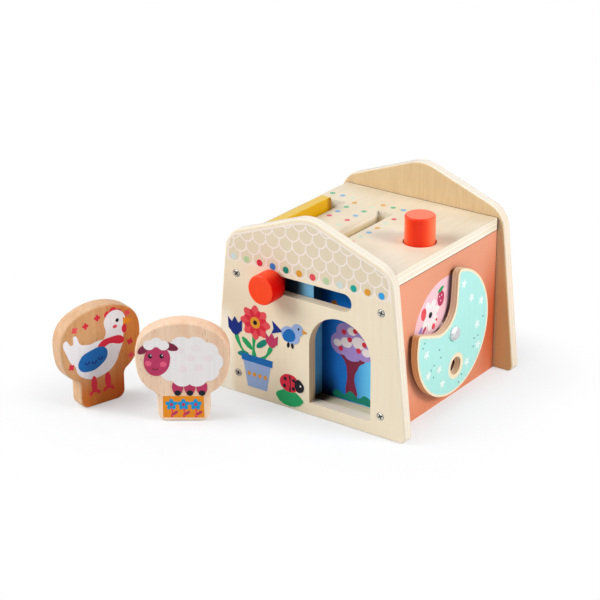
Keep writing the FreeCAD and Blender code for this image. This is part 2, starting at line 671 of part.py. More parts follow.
def lifter(label, centre, drop):
    """A rising board with two upright slots that ride on the cross dowels."""
    body = new_body(label)
    face = new_sketch(body, "YZ_Plane", "-lifter_thickness / 2")
    rectangle(face, "0", "lifter_length", "0", "lifter_height")
    pad(body, face, "lifter_thickness")
    top = num("lifter_height")
    round_edges(body, "lifter_edge_radius", lambda edge: in_plane(edge, 2, top))
    bevel_edges(body, "lifter_foot_chamfer", lambda edge: in_plane(edge, 2, 0.0) and along(edge, (0, 1, 0)))
    guides = new_sketch(body, "YZ_Plane")
    for y in ("guide_dowel_inset", "lifter_length - guide_dowel_inset"):
        slot(guides, (y, "guide_slot_low"), (y, "guide_slot_high"), "guide_slot_radius")
    pocket(body, guides)
    return place(body, centre, "lifter_front", "raised_bottom - (%s)" % drop)


left_lifter = lifter("left_lifter", "left_slot_centre", "0")
right_lifter = lifter("right_lifter", "right_slot_centre", "lifter_travel")


def rods(label, diameter, bore, runs):
    """Round rods or tubes along X at both guide heights, as one node of separate solids."""
    group = []
    for start, end in runs:
        for y in GUIDE_ENDS:
            rod = doc.addObject("Part::Cylinder", label + "_rod")
            bind(rod, "Radius", "(%s) / 2" % diameter)
            bind(rod, "Height", "(%s) - (%s)" % (end, start))
            place(rod, start, y, "guide_dowel_height", (0, 1, 0), "90")
            if bore:
                hole = doc.addObject("Part::Cylinder", label + "_bore")
                bind(hole, "Radius", "(%s) / 2 + seat_gap" % bore)
                bind(hole, "Height", "(%s) - (%s)" % (end, start))
                place(hole, start, y, "guide_dowel_height", (0, 1, 0), "90")
                tube = doc.addObject("Part::Cut", label + "_tube")
                tube.Base = rod
                tube.Tool = hole
                rod = tube
            group.append(rod)
    compound = doc.addObject("Part::Compound", label)
    compound.Label = label
    compound.Links = group
    doc.recompute()
    pieces.append(compound)


rods("guide_dowels", "guide_dowel_diameter", None, [("guide_dowel_start", "partition_left + dowel_seat_depth")])
BESIDE_LIFTER = "lifter_thickness / 2 + spacer_gap"
rods("guide_spacers", "spacer_diameter", "guide_dowel_diameter", [
    ("-wall_inner_half", "left_slot_centre - (%s)" % BESIDE_LIFTER),
    ("left_slot_centre + " + BESIDE_LIFTER, "right_slot_centre - (%s)" % BESIDE_LIFTER),
    ("right_slot_centre + " + BESIDE_LIFTER, "partition_left")])

# ------------------------------------------------- the rocker that links them

rocker_arm = new_body("rocker_arm")
outline = new_sketch(rocker_arm, "XZ_Plane")
hub, tip, reach = num("rocker_hub_radius"), num("rocker_tip_radius"), num("rocker_arm")
lean = math.asin((hub - tip) / reach)
sweep = math.pi / 2 - lean
ends = [arc(outline, (reach, 0), tip, -sweep, sweep), arc(outline, (0, 0), hub, sweep, math.pi - sweep),
        arc(outline, (-reach, 0), tip, math.pi - sweep, math.pi + sweep),
        arc(outline, (0, 0), hub, math.pi + sweep, 2 * math.pi - sweep)]
across = Vector(math.cos(sweep), math.sin(sweep), 0)
flanks = []
for sx, sy, outward in ((1, 1, False), (-1, 1, True), (-1, -1, False), (1, -1, True)):
    normal = Vector(sx * across.x, sy * across.y, 0)
    far, near = Vector(sx * reach, 0, 0) + normal * tip, normal * hub
    run = (near, far) if outward else (far, near)
    flanks.append(outline.addGeometry(Part.LineSegment(*run), False))
chain = [ends[0], flanks[0], ends[1], flanks[1], ends[2], flanks[2], ends[3], flanks[3]]
for one, other in zip(chain, chain[1:] + chain[:1]):
    outline.addConstraint(Sketcher.Constraint("Tangent", one, 2, other, 1))
hold_point(outline, ends[0], 3, "rocker_arm", "0")
hold_point(outline, ends[1], 3, "0", "0")
hold_point(outline, ends[2], 3, "-rocker_arm", "0")
hold_point(outline, ends[3], 3, "0", "0")
for index, radius in enumerate(("rocker_tip_radius", "rocker_hub_radius") * 2):
    hold(outline, "Radius", radius, ends[index])
pad(rocker_arm, outline, "rocker_thickness", flip=True)
bore = new_sketch(rocker_arm, "XZ_Plane")
circle(bore, "0", "0", "axle_diameter / 2 + axle_running_gap")
pocket(rocker_arm, bore)
ROCKER_TILT = "asin(lifter_travel / 2 / rocker_arm)"
place(rocker_arm, "rocker_x", "rocker_front", "rocker_z", (0, 1, 0), ROCKER_TILT)


def bracket(label, start):
    """An upright of tapered plywood that carries one end of the axle."""
    body = new_body(label)
    outline = new_sketch(body, "XZ_Plane")
    head, half = num("bracket_head_radius"), num("bracket_foot_width / 2")
    rise = num("rocker_z - floor_top")
    slope = math.atan2(rise, half) + math.asin(head / math.hypot(rise, half))
    touch = Vector(head * math.sin(slope), rise + head * math.cos(slope), 0)
    angle = math.pi / 2 - slope
    top = arc(outline, (0, rise), head, angle, math.pi - angle)
    left = outline.addGeometry(Part.LineSegment(Vector(-touch.x, touch.y, 0), Vector(-half, 0, 0)), False)
    foot = outline.addGeometry(Part.LineSegment(Vector(-half, 0, 0), Vector(half, 0, 0)), False)
    right = outline.addGeometry(Part.LineSegment(Vector(half, 0, 0), touch), False)
    outline.addConstraint(Sketcher.Constraint("Tangent", top, 2, left, 1))
    outline.addConstraint(Sketcher.Constraint("Coincident", left, 2, foot, 1))
    outline.addConstraint(Sketcher.Constraint("Coincident", foot, 2, right, 1))
    outline.addConstraint(Sketcher.Constraint("Tangent", right, 2, top, 1))
    hold_point(outline, top, 3, "0", "rocker_z - floor_top")
    hold(outline, "Radius", "bracket_head_radius", top)
    hold_point(outline, foot, 1, "-bracket_foot_width / 2", "0")
    hold_point(outline, foot, 2, "bracket_foot_width / 2", "0")
    pad(body, outline, "bracket_thickness", flip=True)
    bore = new_sketch(body, "XZ_Plane")
    circle(bore, "0", "rocker_z - floor_top", "axle_diameter / 2 + seat_gap")
    pocket(body, bore)
    pilots = new_sketch(body, "XY_Plane")
    for side in (-1, 1):
        circle(pilots, "%d * bracket_screw_spacing / 2" % side, "bracket_thickness / 2", "screw_hole_radius")
    pocket(body, pilots, "bracket_screw_length - floor_thickness", flip=True)
    return place(body, "rocker_x", start, "floor_top")


bracket("front_rocker_bracket", "front_bracket")
bracket("rear_rocker_bracket", "rear_bracket")
AXLE_LENGTH = "rear_bracket + bracket_thickness - front_bracket"
rocker_axle = turned("rocker_axle", [
    ("0", "0"), ("axle_diameter / 2", "0"), ("axle_diameter / 2", AXLE_LENGTH), ("0", AXLE_LENGTH)])
place(rocker_axle, "rocker_x", "front_bracket", "rocker_z", (1, 0, 0), "-90")

# ----------------------------------------- the push button and its squeaker

roof_button = new_body("roof_button")
profile = new_sketch(roof_button, "XZ_Plane")
polygon(profile, [
    ("screw_hole_radius", "0"), ("button_diameter / 2", "0"),
    ("button_diameter / 2", "button_rise + roof_top - crossbar_top"),
    ("0", "button_rise + roof_top - crossbar_top"),
    ("0", "button_screw_length - crossbar_thickness"),
    ("screw_hole_radius", "button_screw_length - crossbar_thickness")])
revolve(roof_button, profile)
crown = num("button_rise + roof_top - crossbar_top")
round_edges(roof_button, "button_rim_radius", lambda edge: in_plane(edge, 2, crown))
place(roof_button, "button_x", "button_y", "crossbar_top")

button_crossbar = board("button_crossbar", "crossbar_width", "crossbar_length", "crossbar_thickness",
                        "button_x", "button_y", "crossbar_under")
round_edges(button_crossbar, "crossbar_corner_radius", lambda edge: along(edge, (0, 0, 1)))
hole = new_sketch(button_crossbar, "XY_Plane")
circle(hole, "0", "0", "screw_hole_radius")
pocket(button_crossbar, hole)
countersink(button_crossbar, new_sketch(button_crossbar, "XZ_Plane"), "0", "0", "1")

button_screw = turned("button_screw", screw_profile(
    "screw_head_diameter", "screw_head_height", "screw_shank_diameter", "button_screw_length"))
place(button_screw, "button_x", "button_y", "crossbar_under")


def bellows_profile():
    """Rubber wall of the squeaker, folded in and out from its foot to its closed top."""
    folds = int(round(num("bellows_folds")))
    pitch = "bellows_height / %d" % folds
    outside = [("bellows_waist_diameter / 2", "0")]
    for fold in range(folds):
        outside.append(("bellows_diameter / 2", "%s * %g" % (pitch, fold + 0.5)))
        outside.append(("bellows_waist_diameter / 2", "%s * %d" % (pitch, fold + 1)))
    inside = [("bellows_waist_diameter / 2 - bellows_wall", "bellows_height - bellows_wall")]
    for fold in reversed(range(folds)):
        inside.append(("bellows_diameter / 2 - 1.4 * bellows_wall", "%s * %g" % (pitch, fold + 0.5)))
        if fold:
            inside.append(("bellows_waist_diameter / 2 - bellows_wall", "%s * %d" % (pitch, fold)))
    inside += [("bellows_waist_diameter / 2 - bellows_wall", "bellows_wall"),
               ("reed_diameter / 2 + seat_gap", "bellows_wall"), ("reed_diameter / 2 + seat_gap", "0")]
    return outside + [("0", "bellows_height"), ("0", "bellows_height - bellows_wall")] + inside


squeaker_bellows = turned("squeaker_bellows", bellows_profile())
place(squeaker_bellows, "button_x", "button_y", "shelf_top")

button_shelf = new_body("button_shelf")
face = new_sketch(button_shelf, "XY_Plane")
rectangle(face, "partition_right", "wall_inner_half",
          "button_y - shelf_length / 2", "button_y + shelf_length / 2")
circle(face, "button_x", "button_y", "reed_diameter / 2 + seat_gap")
pad(button_shelf, face, "shelf_thickness")
place(button_shelf, z="shelf_top - shelf_thickness")

squeaker_reed = turned("squeaker_reed", [
    ("reed_bore_diameter / 2", "-bellows_wall"), ("reed_flange_diameter / 2", "-bellows_wall"),
    ("reed_flange_diameter / 2", "0"), ("reed_diameter / 2", "0"),
    ("reed_diameter / 2", "shelf_thickness + 2 * bellows_wall"),
    ("reed_bore_diameter / 2", "shelf_thickness + 2 * bellows_wall")])
place(squeaker_reed, "button_x", "button_y", "shelf_top - shelf_thickness")

# ----------------------------------------------------- the turning disc

picture_disc = new_body("picture_disc")
face = new_sketch(picture_disc, "YZ_Plane")
circle(face, "0", "0", "disc_radius")
pad(picture_disc, face, "disc_thickness")
notch = new_sketch(picture_disc, "YZ_Plane")
OUTSIDE = "2 * disc_radius"
polygon(notch, [
    ("notch_side", "notch_floor"), ("notch_side", OUTSIDE), ("-" + OUTSIDE, OUTSIDE),
    ("-" + OUTSIDE, "notch_floor + (notch_side + " + OUTSIDE + ") * tan(notch_angle)")])
pocket(picture_disc, notch)
inner_corner = Vector(0, num("notch_side"), num("notch_floor"))
rim_distance = num("disc_radius")


def at_inner_corner(edge):
    point = edge.CenterOfMass
    return along(edge, (1, 0, 0)) and abs(point.y - inner_corner.y) + abs(point.z - inner_corner.z) < NEAR


def on_rim(edge, upper):
    """True for the straight edge where one side of the cut-out meets the rim."""
    point = edge.CenterOfMass
    at_rim = abs(math.hypot(point.y, point.z) - rim_distance) < NEAR
    on_side = point.z > rim_distance / 2 if upper else point.y < -rim_distance / 2
    return along(edge, (1, 0, 0)) and at_rim and on_side


round_edges(picture_disc, "notch_toe_radius", lambda edge: on_rim(edge, False))
round_edges(picture_disc, "notch_tip_radius", lambda edge: on_rim(edge, True))
round_edges(picture_disc, "notch_corner_radius", at_inner_corner)
holes = new_sketch(picture_disc, "YZ_Plane")
circle(holes, "0", "0", "pivot_diameter / 2 + pivot_running_gap")
circle(holes, "finger_hole_x", "finger_hole_y", "finger_hole_radius")
pocket(picture_disc, holes)
faces = (0.0, num("disc_thickness"))
hub_edge = num("pivot_diameter + pivot_running_gap")
round_edges(picture_disc, "disc_edge_radius", lambda edge: any(in_plane(edge, 0, level) for level in faces)
            and max(abs(edge.BoundBox.ZMin), abs(edge.BoundBox.ZMax)) > hub_edge)
place(picture_disc, "disc_back", "disc_y", "disc_height", (1, 0, 0), "-disc_angle")

# The bolt stands along local Z, its dome at the far end from the thread.
pivot_bolt = new_body("pivot_bolt")
profile = new_sketch(pivot_bolt, "XZ_Plane")
SHANK = "disc_face + pivot_side_gap - nut_left + bolt_end"
polygon(profile, [
    ("0", "0"), ("pivot_diameter / 2", "0"), ("pivot_diameter / 2", SHANK), ("pivot_head_diameter / 2", SHANK),
    ("pivot_head_diameter / 2", SHANK + " + pivot_head_height"), ("0", SHANK + " + pivot_head_height")])
revolve(pivot_bolt, profile)
dome = num(SHANK + " + pivot_head_height")
round_edges(pivot_bolt, "pivot_dome_radius", lambda edge: in_plane(edge, 2, dome))
place(pivot_bolt, "nut_left - bolt_end", "disc_y", "disc_height", (0, 1, 0), "90")

pivot_washer = turned("pivot_washer", [
    ("pivot_diameter / 2 + seat_gap", "0"), ("washer_diameter / 2", "0"),
    ("washer_diameter / 2", "disc_standoff - pivot_side_gap"),
    ("pivot_diameter / 2 + seat_gap", "disc_standoff - pivot_side_gap")])
place(pivot_washer, "wall_outer_half", "disc_y", "disc_height", (0, 1, 0), "90")

pivot_nut = new_body("pivot_nut")
face = new_sketch(pivot_nut, "YZ_Plane")
polygon(face, [("nut_width / 2 * %g" % (math.cos(math.radians(30 + 60 * i)) / math.cos(math.radians(30))),
                "nut_width / 2 * %g" % (math.sin(math.radians(30 + 60 * i)) / math.cos(math.radians(30))))
               for i in range(6)])
circle(face, "0", "0", "pivot_diameter / 2 + seat_gap")
pad(pivot_nut, face, "nut_height")
place(pivot_nut, "nut_left", "disc_y", "disc_height")

# ----------------------------------------------------------- the figures

def meet(one, one_radius, other, other_radius):
    """Finds the centre that lies at given distances from two others, on the right of their line."""
    base = Vector(other[0] - one[0], other[1] - one[1], 0)
    span = base.Length
    run = (span ** 2 + one_radius ** 2 - other_radius ** 2) / (2 * span)
    side = math.sqrt(one_radius ** 2 - run ** 2)
    unit = base / span
    return (one[0] + unit.x * run + unit.y * side, one[1] + unit.y * run - unit.x * side)


def toward(start, end):
    return math.atan2(end[1] - start[1], end[0] - start[0])


def figure(label, x, y, turn):
    """A figure sawn from one board: round head, short neck and foot; half is drawn and mirrored."""
    body = new_body(label)
    outline = new_sketch(body, "XZ_Plane")
    crown = (0, num("figure_height - crown_radius"))
    cheek = (num("head_half_width - cheek_radius"), num("head_level"))
    temple = meet(crown, num("crown_radius - temple_radius"), cheek, num("cheek_radius - temple_radius"))
    jaw_drop = num("jaw_level - head_level")
    jaw_run = math.sqrt(num("cheek_radius - jaw_radius") ** 2 - jaw_drop ** 2)
    jaw = (cheek[0] + jaw_run, num("jaw_level"))
    neck_x = num("foot_half_width + neck_radius")
    neck = (neck_x, jaw[1] - math.sqrt(num("jaw_radius + neck_radius") ** 2 - (neck_x - jaw[0]) ** 2))
    foot = (num("foot_half_width - foot_corner_radius"), num("foot_corner_radius"))
    sole = outline.addGeometry(Part.LineSegment(Vector(0, 0, 0), Vector(foot[0], 0, 0)), False)
    corner = arc(outline, foot, num("foot_corner_radius"), -math.pi / 2, 0.0)
    shin = outline.addGeometry(Part.LineSegment(
        Vector(num("foot_half_width"), foot[1], 0), Vector(num("foot_half_width"), neck[1], 0)), False)
    hollow = arc(outline, neck, num("neck_radius"), toward(neck, jaw), math.pi)
    jaw_arc = arc(outline, jaw, num("jaw_radius"), toward(jaw, neck), toward(cheek, jaw))
    cheek_arc = arc(outline, cheek, num("cheek_radius"), toward(cheek, jaw), toward(cheek, temple))
    temple_arc = arc(outline, temple, num("temple_radius"), toward(cheek, temple), toward(crown, temple))
    crown_arc = arc(outline, crown, num("crown_radius"), toward(crown, temple), math.pi / 2)
    middle = outline.addGeometry(Part.LineSegment(Vector(0, num("figure_height"), 0), Vector(0, 0, 0)), False)
    for one, end, other, start in (
            (sole, 2, corner, 1), (corner, 2, shin, 1), (shin, 2, hollow, 2), (hollow, 1, jaw_arc, 1),
            (jaw_arc, 2, cheek_arc, 1), (cheek_arc, 2, temple_arc, 1), (temple_arc, 2, crown_arc, 1)):
        outline.addConstraint(Sketcher.Constraint("Tangent", one, end, other, start))
    outline.addConstraint(Sketcher.Constraint("Coincident", crown_arc, 2, middle, 1))
    outline.addConstraint(Sketcher.Constraint("Coincident", middle, 2, sole, 1))
    outline.addConstraint(Sketcher.Constraint("Coincident", sole, 1, -1, 1))
    outline.addConstraint(Sketcher.Constraint("Horizontal", sole))
    outline.addConstraint(Sketcher.Constraint("Vertical", shin))
    hold_point(outline, crown_arc, 3, "0", "figure_height - crown_radius")
    hold_point(outline, cheek_arc, 3, "head_half_width - cheek_radius", "head_level")
    hold(outline, "DistanceX", "0", -1, 1, crown_arc, 2)
    hold(outline, "DistanceY", "jaw_level", -1, 1, jaw_arc, 3)
    hold(outline, "DistanceX", "foot_half_width", -1, 1, shin, 1)
    for piece, radius in (
            (crown_arc, "crown_radius"), (cheek_arc, "cheek_radius"), (temple_arc, "temple_radius"),
            (jaw_arc, "jaw_radius"), (hollow, "neck_radius"), (corner, "foot_corner_radius")):
        hold(outline, "Radius", radius, piece)
    half = pad(body, outline, "figure_thickness", flip=True)
    mirror = body.newObject("PartDesign::Mirrored", "other_half")
    mirror.Originals = [half]
    mirror.MirrorPlane = (outline, ["V_Axis"])
    body.Tip = mirror
    doc.recompute()
    sides = (0.0, num("figure_thickness"))
    round_edges(body, "figure_edge_radius", lambda edge: any(in_plane(edge, 1, level) for level in sides))
    return place(body, x, y, "0", (0, 0, 1), turn)


figure("sheep_figure", "sheep_x", "sheep_y", "sheep_angle")
figure("chicken_figure", "chicken_x", "chicken_y", "chicken_angle")

# ------------------------------------------------------ checks and export

doc.recompute()
for item in doc.Objects:
    if "Invalid" in item.State or "Error" in item.State:
        raise RuntimeError("%s failed to build, in %s" % (item.Name, [owner.Label for owner in item.InList]))
    if item.TypeId == "Sketcher::SketchObject" and not item.FullyConstrained:
        raise RuntimeError("%s is not fully constrained, in %s" % (item.Name, [owner.Label for owner in item.InList]))
for piece in pieces:
    if piece.Shape.isNull() or not piece.Shape.isValid():
        raise RuntimeError("%s has no valid shape" % piece.Label)
os.makedirs("parts", exist_ok=True)
for piece in pieces:
    piece.Shape.exportStep("parts/%s.step" % piece.Label)
    print("%-22s %2d solid(s) %9.1f mm3" % (piece.Label, len(piece.Shape.Solids), piece.Shape.Volume))
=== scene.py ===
from math import atan2, cos, pi, radians, sin, sqrt

import bpy
from mathutils import Euler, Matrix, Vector


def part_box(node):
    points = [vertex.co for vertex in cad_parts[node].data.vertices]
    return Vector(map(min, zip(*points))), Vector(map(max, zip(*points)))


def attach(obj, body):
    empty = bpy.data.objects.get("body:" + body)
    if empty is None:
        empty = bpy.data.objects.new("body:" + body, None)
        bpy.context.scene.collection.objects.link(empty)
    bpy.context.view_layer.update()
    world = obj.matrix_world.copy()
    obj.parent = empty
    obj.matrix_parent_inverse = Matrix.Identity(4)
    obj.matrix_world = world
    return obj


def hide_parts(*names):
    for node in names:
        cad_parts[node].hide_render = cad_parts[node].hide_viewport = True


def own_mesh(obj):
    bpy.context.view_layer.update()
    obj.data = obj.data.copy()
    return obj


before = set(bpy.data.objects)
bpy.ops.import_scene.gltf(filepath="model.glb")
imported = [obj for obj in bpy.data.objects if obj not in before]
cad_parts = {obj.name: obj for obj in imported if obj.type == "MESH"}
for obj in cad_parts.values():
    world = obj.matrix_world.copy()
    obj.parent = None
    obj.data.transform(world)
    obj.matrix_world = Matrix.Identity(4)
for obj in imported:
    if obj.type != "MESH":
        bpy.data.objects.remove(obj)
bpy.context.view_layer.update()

MM = 0.001

# Stage: a white table, one soft box on the left in front, one on the right
# behind, and a long lens above the right front corner of the house.
bpy.ops.object.select_all(action="DESELECT")
bpy.ops.mesh.primitive_plane_add(size=6.0, location=(0, 0, 0))
table = bpy.context.object
table.name = "table_top"


def tint(red, green, blue):
    """A colour written from 0 to 255, as the shaders take it."""
    levels = [part / 255 for part in (red, green, blue)]
    return [((part + 0.055) / 1.055) ** 2.4 if part > 0.04 else part / 12.92 for part in levels] + [1.0]


def wire(finish, socket, value):
    """Gives a node's input its number or colour, or links it to another node."""
    if isinstance(value, bpy.types.NodeSocket):
        finish.node_tree.links.new(value, socket)
    else:
        socket.default_value = value


def put(finish, kind, values=(), **settings):
    """Adds one shader node.  values are pairs of an input and what it gets."""
    node = finish.node_tree.nodes.new("ShaderNode" + kind)
    for name, value in settings.items():
        setattr(node, name, value)
    for name, value in dict(values).items():
        wire(finish, node.inputs[name], value)
    return node


def feed(finish, name, value):
    """Sets or links one input of the finish's shader."""
    wire(finish, finish.node_tree.nodes["Principled BSDF"].inputs[name], value)


def reckon(finish, operation, *values):
    """One sum on numbers."""
    return put(finish, "Math", enumerate(values), operation=operation).outputs[0]


def reckon_points(finish, operation, *points):
    """One sum on points, which gives a point or, for a distance, a number."""
    node = put(finish, "VectorMath", enumerate(points), operation=operation)
    return node.outputs["Value" if operation in ("LENGTH", "DISTANCE", "DOT_PRODUCT") else "Vector"]


def product(finish, *shares):
    """Several shares multiplied."""
    result = shares[0]
    for share in shares[1:]:
        result = reckon(finish, "MULTIPLY", result, share)
    return result


def rest_of(finish, share):
    """What a share leaves of one."""
    return reckon(finish, "SUBTRACT", 1.0, share)


def spread(finish, value, start, end, low=0.0, high=1.0, run="LINEAR"):
    """Takes a number from one range to another and stops at both ends."""
    return put(finish, "MapRange", {"Value": value, "From Min": start, "From Max": end, "To Min": low,
                                    "To Max": high}, interpolation_type=run).outputs[0]


def rise(finish, value, start, end, low=0.0, high=1.0):
    """Low before the start, high past the end, soft between them; the end may lie under the start."""
    return spread(finish, value, start, end, low, high, "SMOOTHSTEP")


def point(finish):
    """The point on the piece."""
    return put(finish, "TexCoord").outputs["Object"]


def places(finish):
    """How far the point lies across, along and up the house."""
    return tuple(put(finish, "SeparateXYZ", {0: point(finish)}).outputs)


def new_finish(name):
    """A new material."""
    finish = bpy.data.materials.new(name)
    finish.use_nodes = True
    return finish


# The table glows to the eye, except round the feet, where its shaded white shows.
FOOTPRINTS = (((0, 0, 0), (75 * MM, 70 * MM, 1)),
              ((-68 * MM, -138 * MM, 0), (6 * MM, 6 * MM, 1)),
              ((-133 * MM, -152 * MM, 0), (6 * MM, 6 * MM, 1)))
SHADOW_REACH = 90 * MM
SHADOW_GLOW = 0.40
RIGHT_SIDE = (55 * MM, 100 * MM)
RIGHT_GLOW = 0.55
table_white = new_finish("white_table")
feed(table_white, "Base Color", tint(229, 232, 235))
feed(table_white, "Roughness", 0.9)
feed(table_white, "Specular IOR Level", 0.1)
nearest = 1.0
for middle, half in FOOTPRINTS:
    apart = reckon_points(table_white, "SUBTRACT", point(table_white), middle)
    apart = reckon_points(table_white, "ABSOLUTE", apart)
    apart = reckon_points(table_white, "SUBTRACT", apart, half)
    apart = reckon_points(table_white, "MAXIMUM", apart, (0, 0, 0))
    nearest = reckon(table_white, "MINIMUM", nearest, reckon_points(table_white, "LENGTH", apart))
glow = rise(table_white, nearest, 0.0, SHADOW_REACH, SHADOW_GLOW, 1.0)
# On the right of the house it glows more: painted light that hides the house's shadow there.
lit = rise(table_white, places(table_white)[0], *RIGHT_SIDE, 0.0, RIGHT_GLOW)
glow = reckon(table_white, "MULTIPLY_ADD", rest_of(table_white, glow), lit, glow)
glow = product(table_white, glow, put(table_white, "LightPath").outputs["Is Camera Ray"])
white = put(table_white, "Emission", {"Color": tint(255, 255, 255), "Strength": 1.0}).outputs[0]
matt = table_white.node_tree.nodes["Principled BSDF"].outputs[0]
surface = put(table_white, "MixShader", {0: glow, 1: matt, 2: white}).outputs[0]
wire(table_white, table_white.node_tree.nodes["Material Output"].inputs["Surface"], surface)
table.data.materials.append(table_white)

# The sky is white to the eye, a bright ceiling to glossy pieces, and a dim light.
world = bpy.data.worlds.new("studio")
bpy.context.scene.world = world
world.use_nodes = True
sky = world.node_tree.nodes["Background"]
sky.inputs["Color"].default_value = tint(250, 251, 255)
rays = put(world, "LightPath").outputs
upward = places(world)[2]
seen = reckon(world, "MAXIMUM", rays["Is Camera Ray"], rays["Is Transmission Ray"])
mirrored = product(world, rays["Is Glossy Ray"], spread(world, upward, 0.0, 0.5, 0.4, 1.6))
strength = reckon(world, "MAXIMUM", seen, mirrored)
strength = reckon(world, "MAXIMUM", strength, spread(world, upward, 0.1, 0.8, 0.11, 0.27))
wire(world, sky.inputs["Strength"], strength)

MIDDLE = Vector((-0.02, -0.04, 0.06))
for name, place, size, power in (("left_light", (-1.10, -1.10, 1.20), 1.3, 34.0),
                                 ("right_light", (1.60, 0.28, 1.00), 0.8, 27.0)):
    bpy.ops.object.light_add(type="AREA", location=place)
    lamp = bpy.context.object
    lamp.name = name
    lamp.data.size = size
    lamp.data.energy = power
    lamp.rotation_euler = (MIDDLE - Vector(place)).to_track_quat("-Z", "Y").to_euler()

CAMERA_PLACE = (0.77956, -1.15351, 0.66322)
LOOK_DOWN, LOOK_LEFT, ROLL = radians(23.25), radians(36.22), radians(-0.38)
bpy.ops.object.camera_add(location=CAMERA_PLACE)
camera = bpy.context.object
camera.rotation_euler = Euler((pi / 2 - LOOK_DOWN, 0, LOOK_LEFT))
camera.rotation_euler.rotate_axis("Z", ROLL)
camera.data.lens = 118.52
camera.data.sensor_width = 36.0
camera.data.clip_start = 0.05
bpy.context.scene.camera = camera
bpy.context.scene.view_settings.view_transform = "Standard"

# Gables: two boards of pale plywood with sanded edges, screwed to the walls'
# ends.  The veneer's grain runs upright, and the plies show wherever it is cut.
X, Y, Z = 0, 1, 2
RIGHTWARDS = (1, 0, 0)
PLY_SHIFT = 0.08
NO_MARK = (0, 0, 0, 1)


def ramp(finish, position, *stops):
    """A run of colours; stops are pairs of a position and a colour."""
    node = put(finish, "ValToRGB", {0: position})
    band = node.color_ramp.elements
    while len(band) < len(stops):
        band.new(1.0)
    for element, (where, colour) in zip(band, stops):
        element.position = where
        element.color = colour
    return node.outputs[0]


def blend(finish, share, under, over):
    """Lays the colour over on the colour under."""
    return put(finish, "Mix", {0: share, 6: under, 7: over}, data_type="RGBA").outputs[2]


def fibres(finish, along, scale, stretch, detail=4.0, seed=0.0):
    """Noise of so many grains a metre, drawn out along the grain where stretch is small."""
    size = [scale] * 3
    size[along] = scale * stretch
    drawn = put(finish, "Mapping", {"Vector": point(finish), "Location": (seed, seed, seed), "Scale": size})
    return put(finish, "TexNoise", {"Vector": drawn.outputs[0], "Scale": 1.0, "Detail": detail,
                                    "Roughness": 0.6}).outputs[0]


def roughen(finish, height, strength, low, high):
    """Relief and gloss from one pattern."""
    relief = put(finish, "Bump", {"Height": height, "Strength": strength, "Distance": 0.3 * MM})
    feed(finish, "Normal", relief.outputs[0])
    feed(finish, "Roughness", spread(finish, height, 0.0, 1.0, low, high))


def towards(finish, direction):
    """The surface's turn towards a direction, from -1 to 1."""
    return reckon_points(finish, "DOT_PRODUCT", put(finish, "TexCoord").outputs["Normal"], direction)


def turned(finish, axis):
    """The surface's turn along an axis, either way, from 0 to 1."""
    return reckon(finish, "ABSOLUTE", towards(finish, [float(side == axis) for side in (X, Y, Z)]))


def cut_face(finish, through, limit=0.75):
    """One where the board is cut, nothing on its two faces."""
    return reckon(finish, "LESS_THAN", turned(finish, through), limit)


def ply_depth(finish, node, through, plies=5):
    """How many plies deep the point lies in its board."""
    low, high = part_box(node)
    return spread(finish, places(finish)[through], low[through], high[through], -PLY_SHIFT, plies - PLY_SHIFT)


def plywood(node, grain, through, pale, deep, seed=0.0):
    """Plywood under clear lacquer: veneer on the faces, plies where the board is cut."""
    finish = new_finish(node + "_plywood")
    fine = fibres(finish, grain, scale=420, stretch=0.035, detail=5.0, seed=seed)
    broad = fibres(finish, grain, scale=34, stretch=0.13, detail=2.0, seed=seed)
    rings = reckon(finish, "SINE", product(finish, broad, 70.0))
    figure = reckon(finish, "MULTIPLY_ADD", rings, 0.05, fine)
    veneer = ramp(finish, figure, (0.24, deep), (0.62, pale))
    flecks = fibres(finish, grain, scale=1500, stretch=0.05, detail=1.0, seed=seed + 3)
    veneer = blend(finish, ramp(finish, flecks, (0.66, NO_MARK), (0.78, (0.5, 0.5, 0.5, 1))), veneer, deep)
    wander = fibres(finish, grain, scale=60, stretch=1.0, detail=2.0, seed=seed)
    depth = reckon(finish, "MULTIPLY_ADD", wander, 0.16, ply_depth(finish, node, through))
    layer = reckon(finish, "PINGPONG", depth, 1.0)
    cut = ramp(finish, layer, (0.0, tint(236, 216, 184)), (0.30, tint(238, 219, 188)),
               (0.45, tint(196, 162, 122)), (0.60, tint(246, 234, 212)), (1.0, tint(248, 238, 219)))
    end_grain = fibres(finish, through, scale=900, stretch=0.3, detail=2.0, seed=seed)
    cut = blend(finish, product(finish, end_grain, 0.20), cut, tint(226, 204, 168))
    feed(finish, "Base Color", blend(finish, cut_face(finish, through), veneer, cut))
    feed(finish, "Specular IOR Level", 0.2)
    roughen(finish, fine, strength=0.18, low=0.34, high=0.50)
    return finish


def dress(finish, *nodes):
    """Gives pieces of the frame their finish."""
    for node in nodes:
        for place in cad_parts[node].material_slots:
            place.material = finish


def so_far(finish):
    """The colour that the finish has so far."""
    return finish.node_tree.nodes["Principled BSDF"].inputs["Base Color"].links[0].from_socket


def print_and_light(finish, colour, *shares):
    """Lays a colour over the finish, as densely as all the shares together; used for prints and pale edges,
    and in many places for painted light.
    """
    feed(finish, "Base Color", blend(finish, product(finish, *shares), so_far(finish), colour))


def stain_and_shade(finish, colour, *shares):
    """Darkens the finish by parts of red, green and blue, as a thin stain does; most uses are painted shade.
    """
    stained = put(finish, "Mix", {0: product(finish, *shares), 6: so_far(finish), 7: (*colour, 1.0)},
                  data_type="RGBA", blend_type="MULTIPLY")
    feed(finish, "Base Color", stained.outputs[2])


def front_sum(operation, *values):
    """One sum in the front gable's finish."""
    return reckon(front_ply, operation, *values)


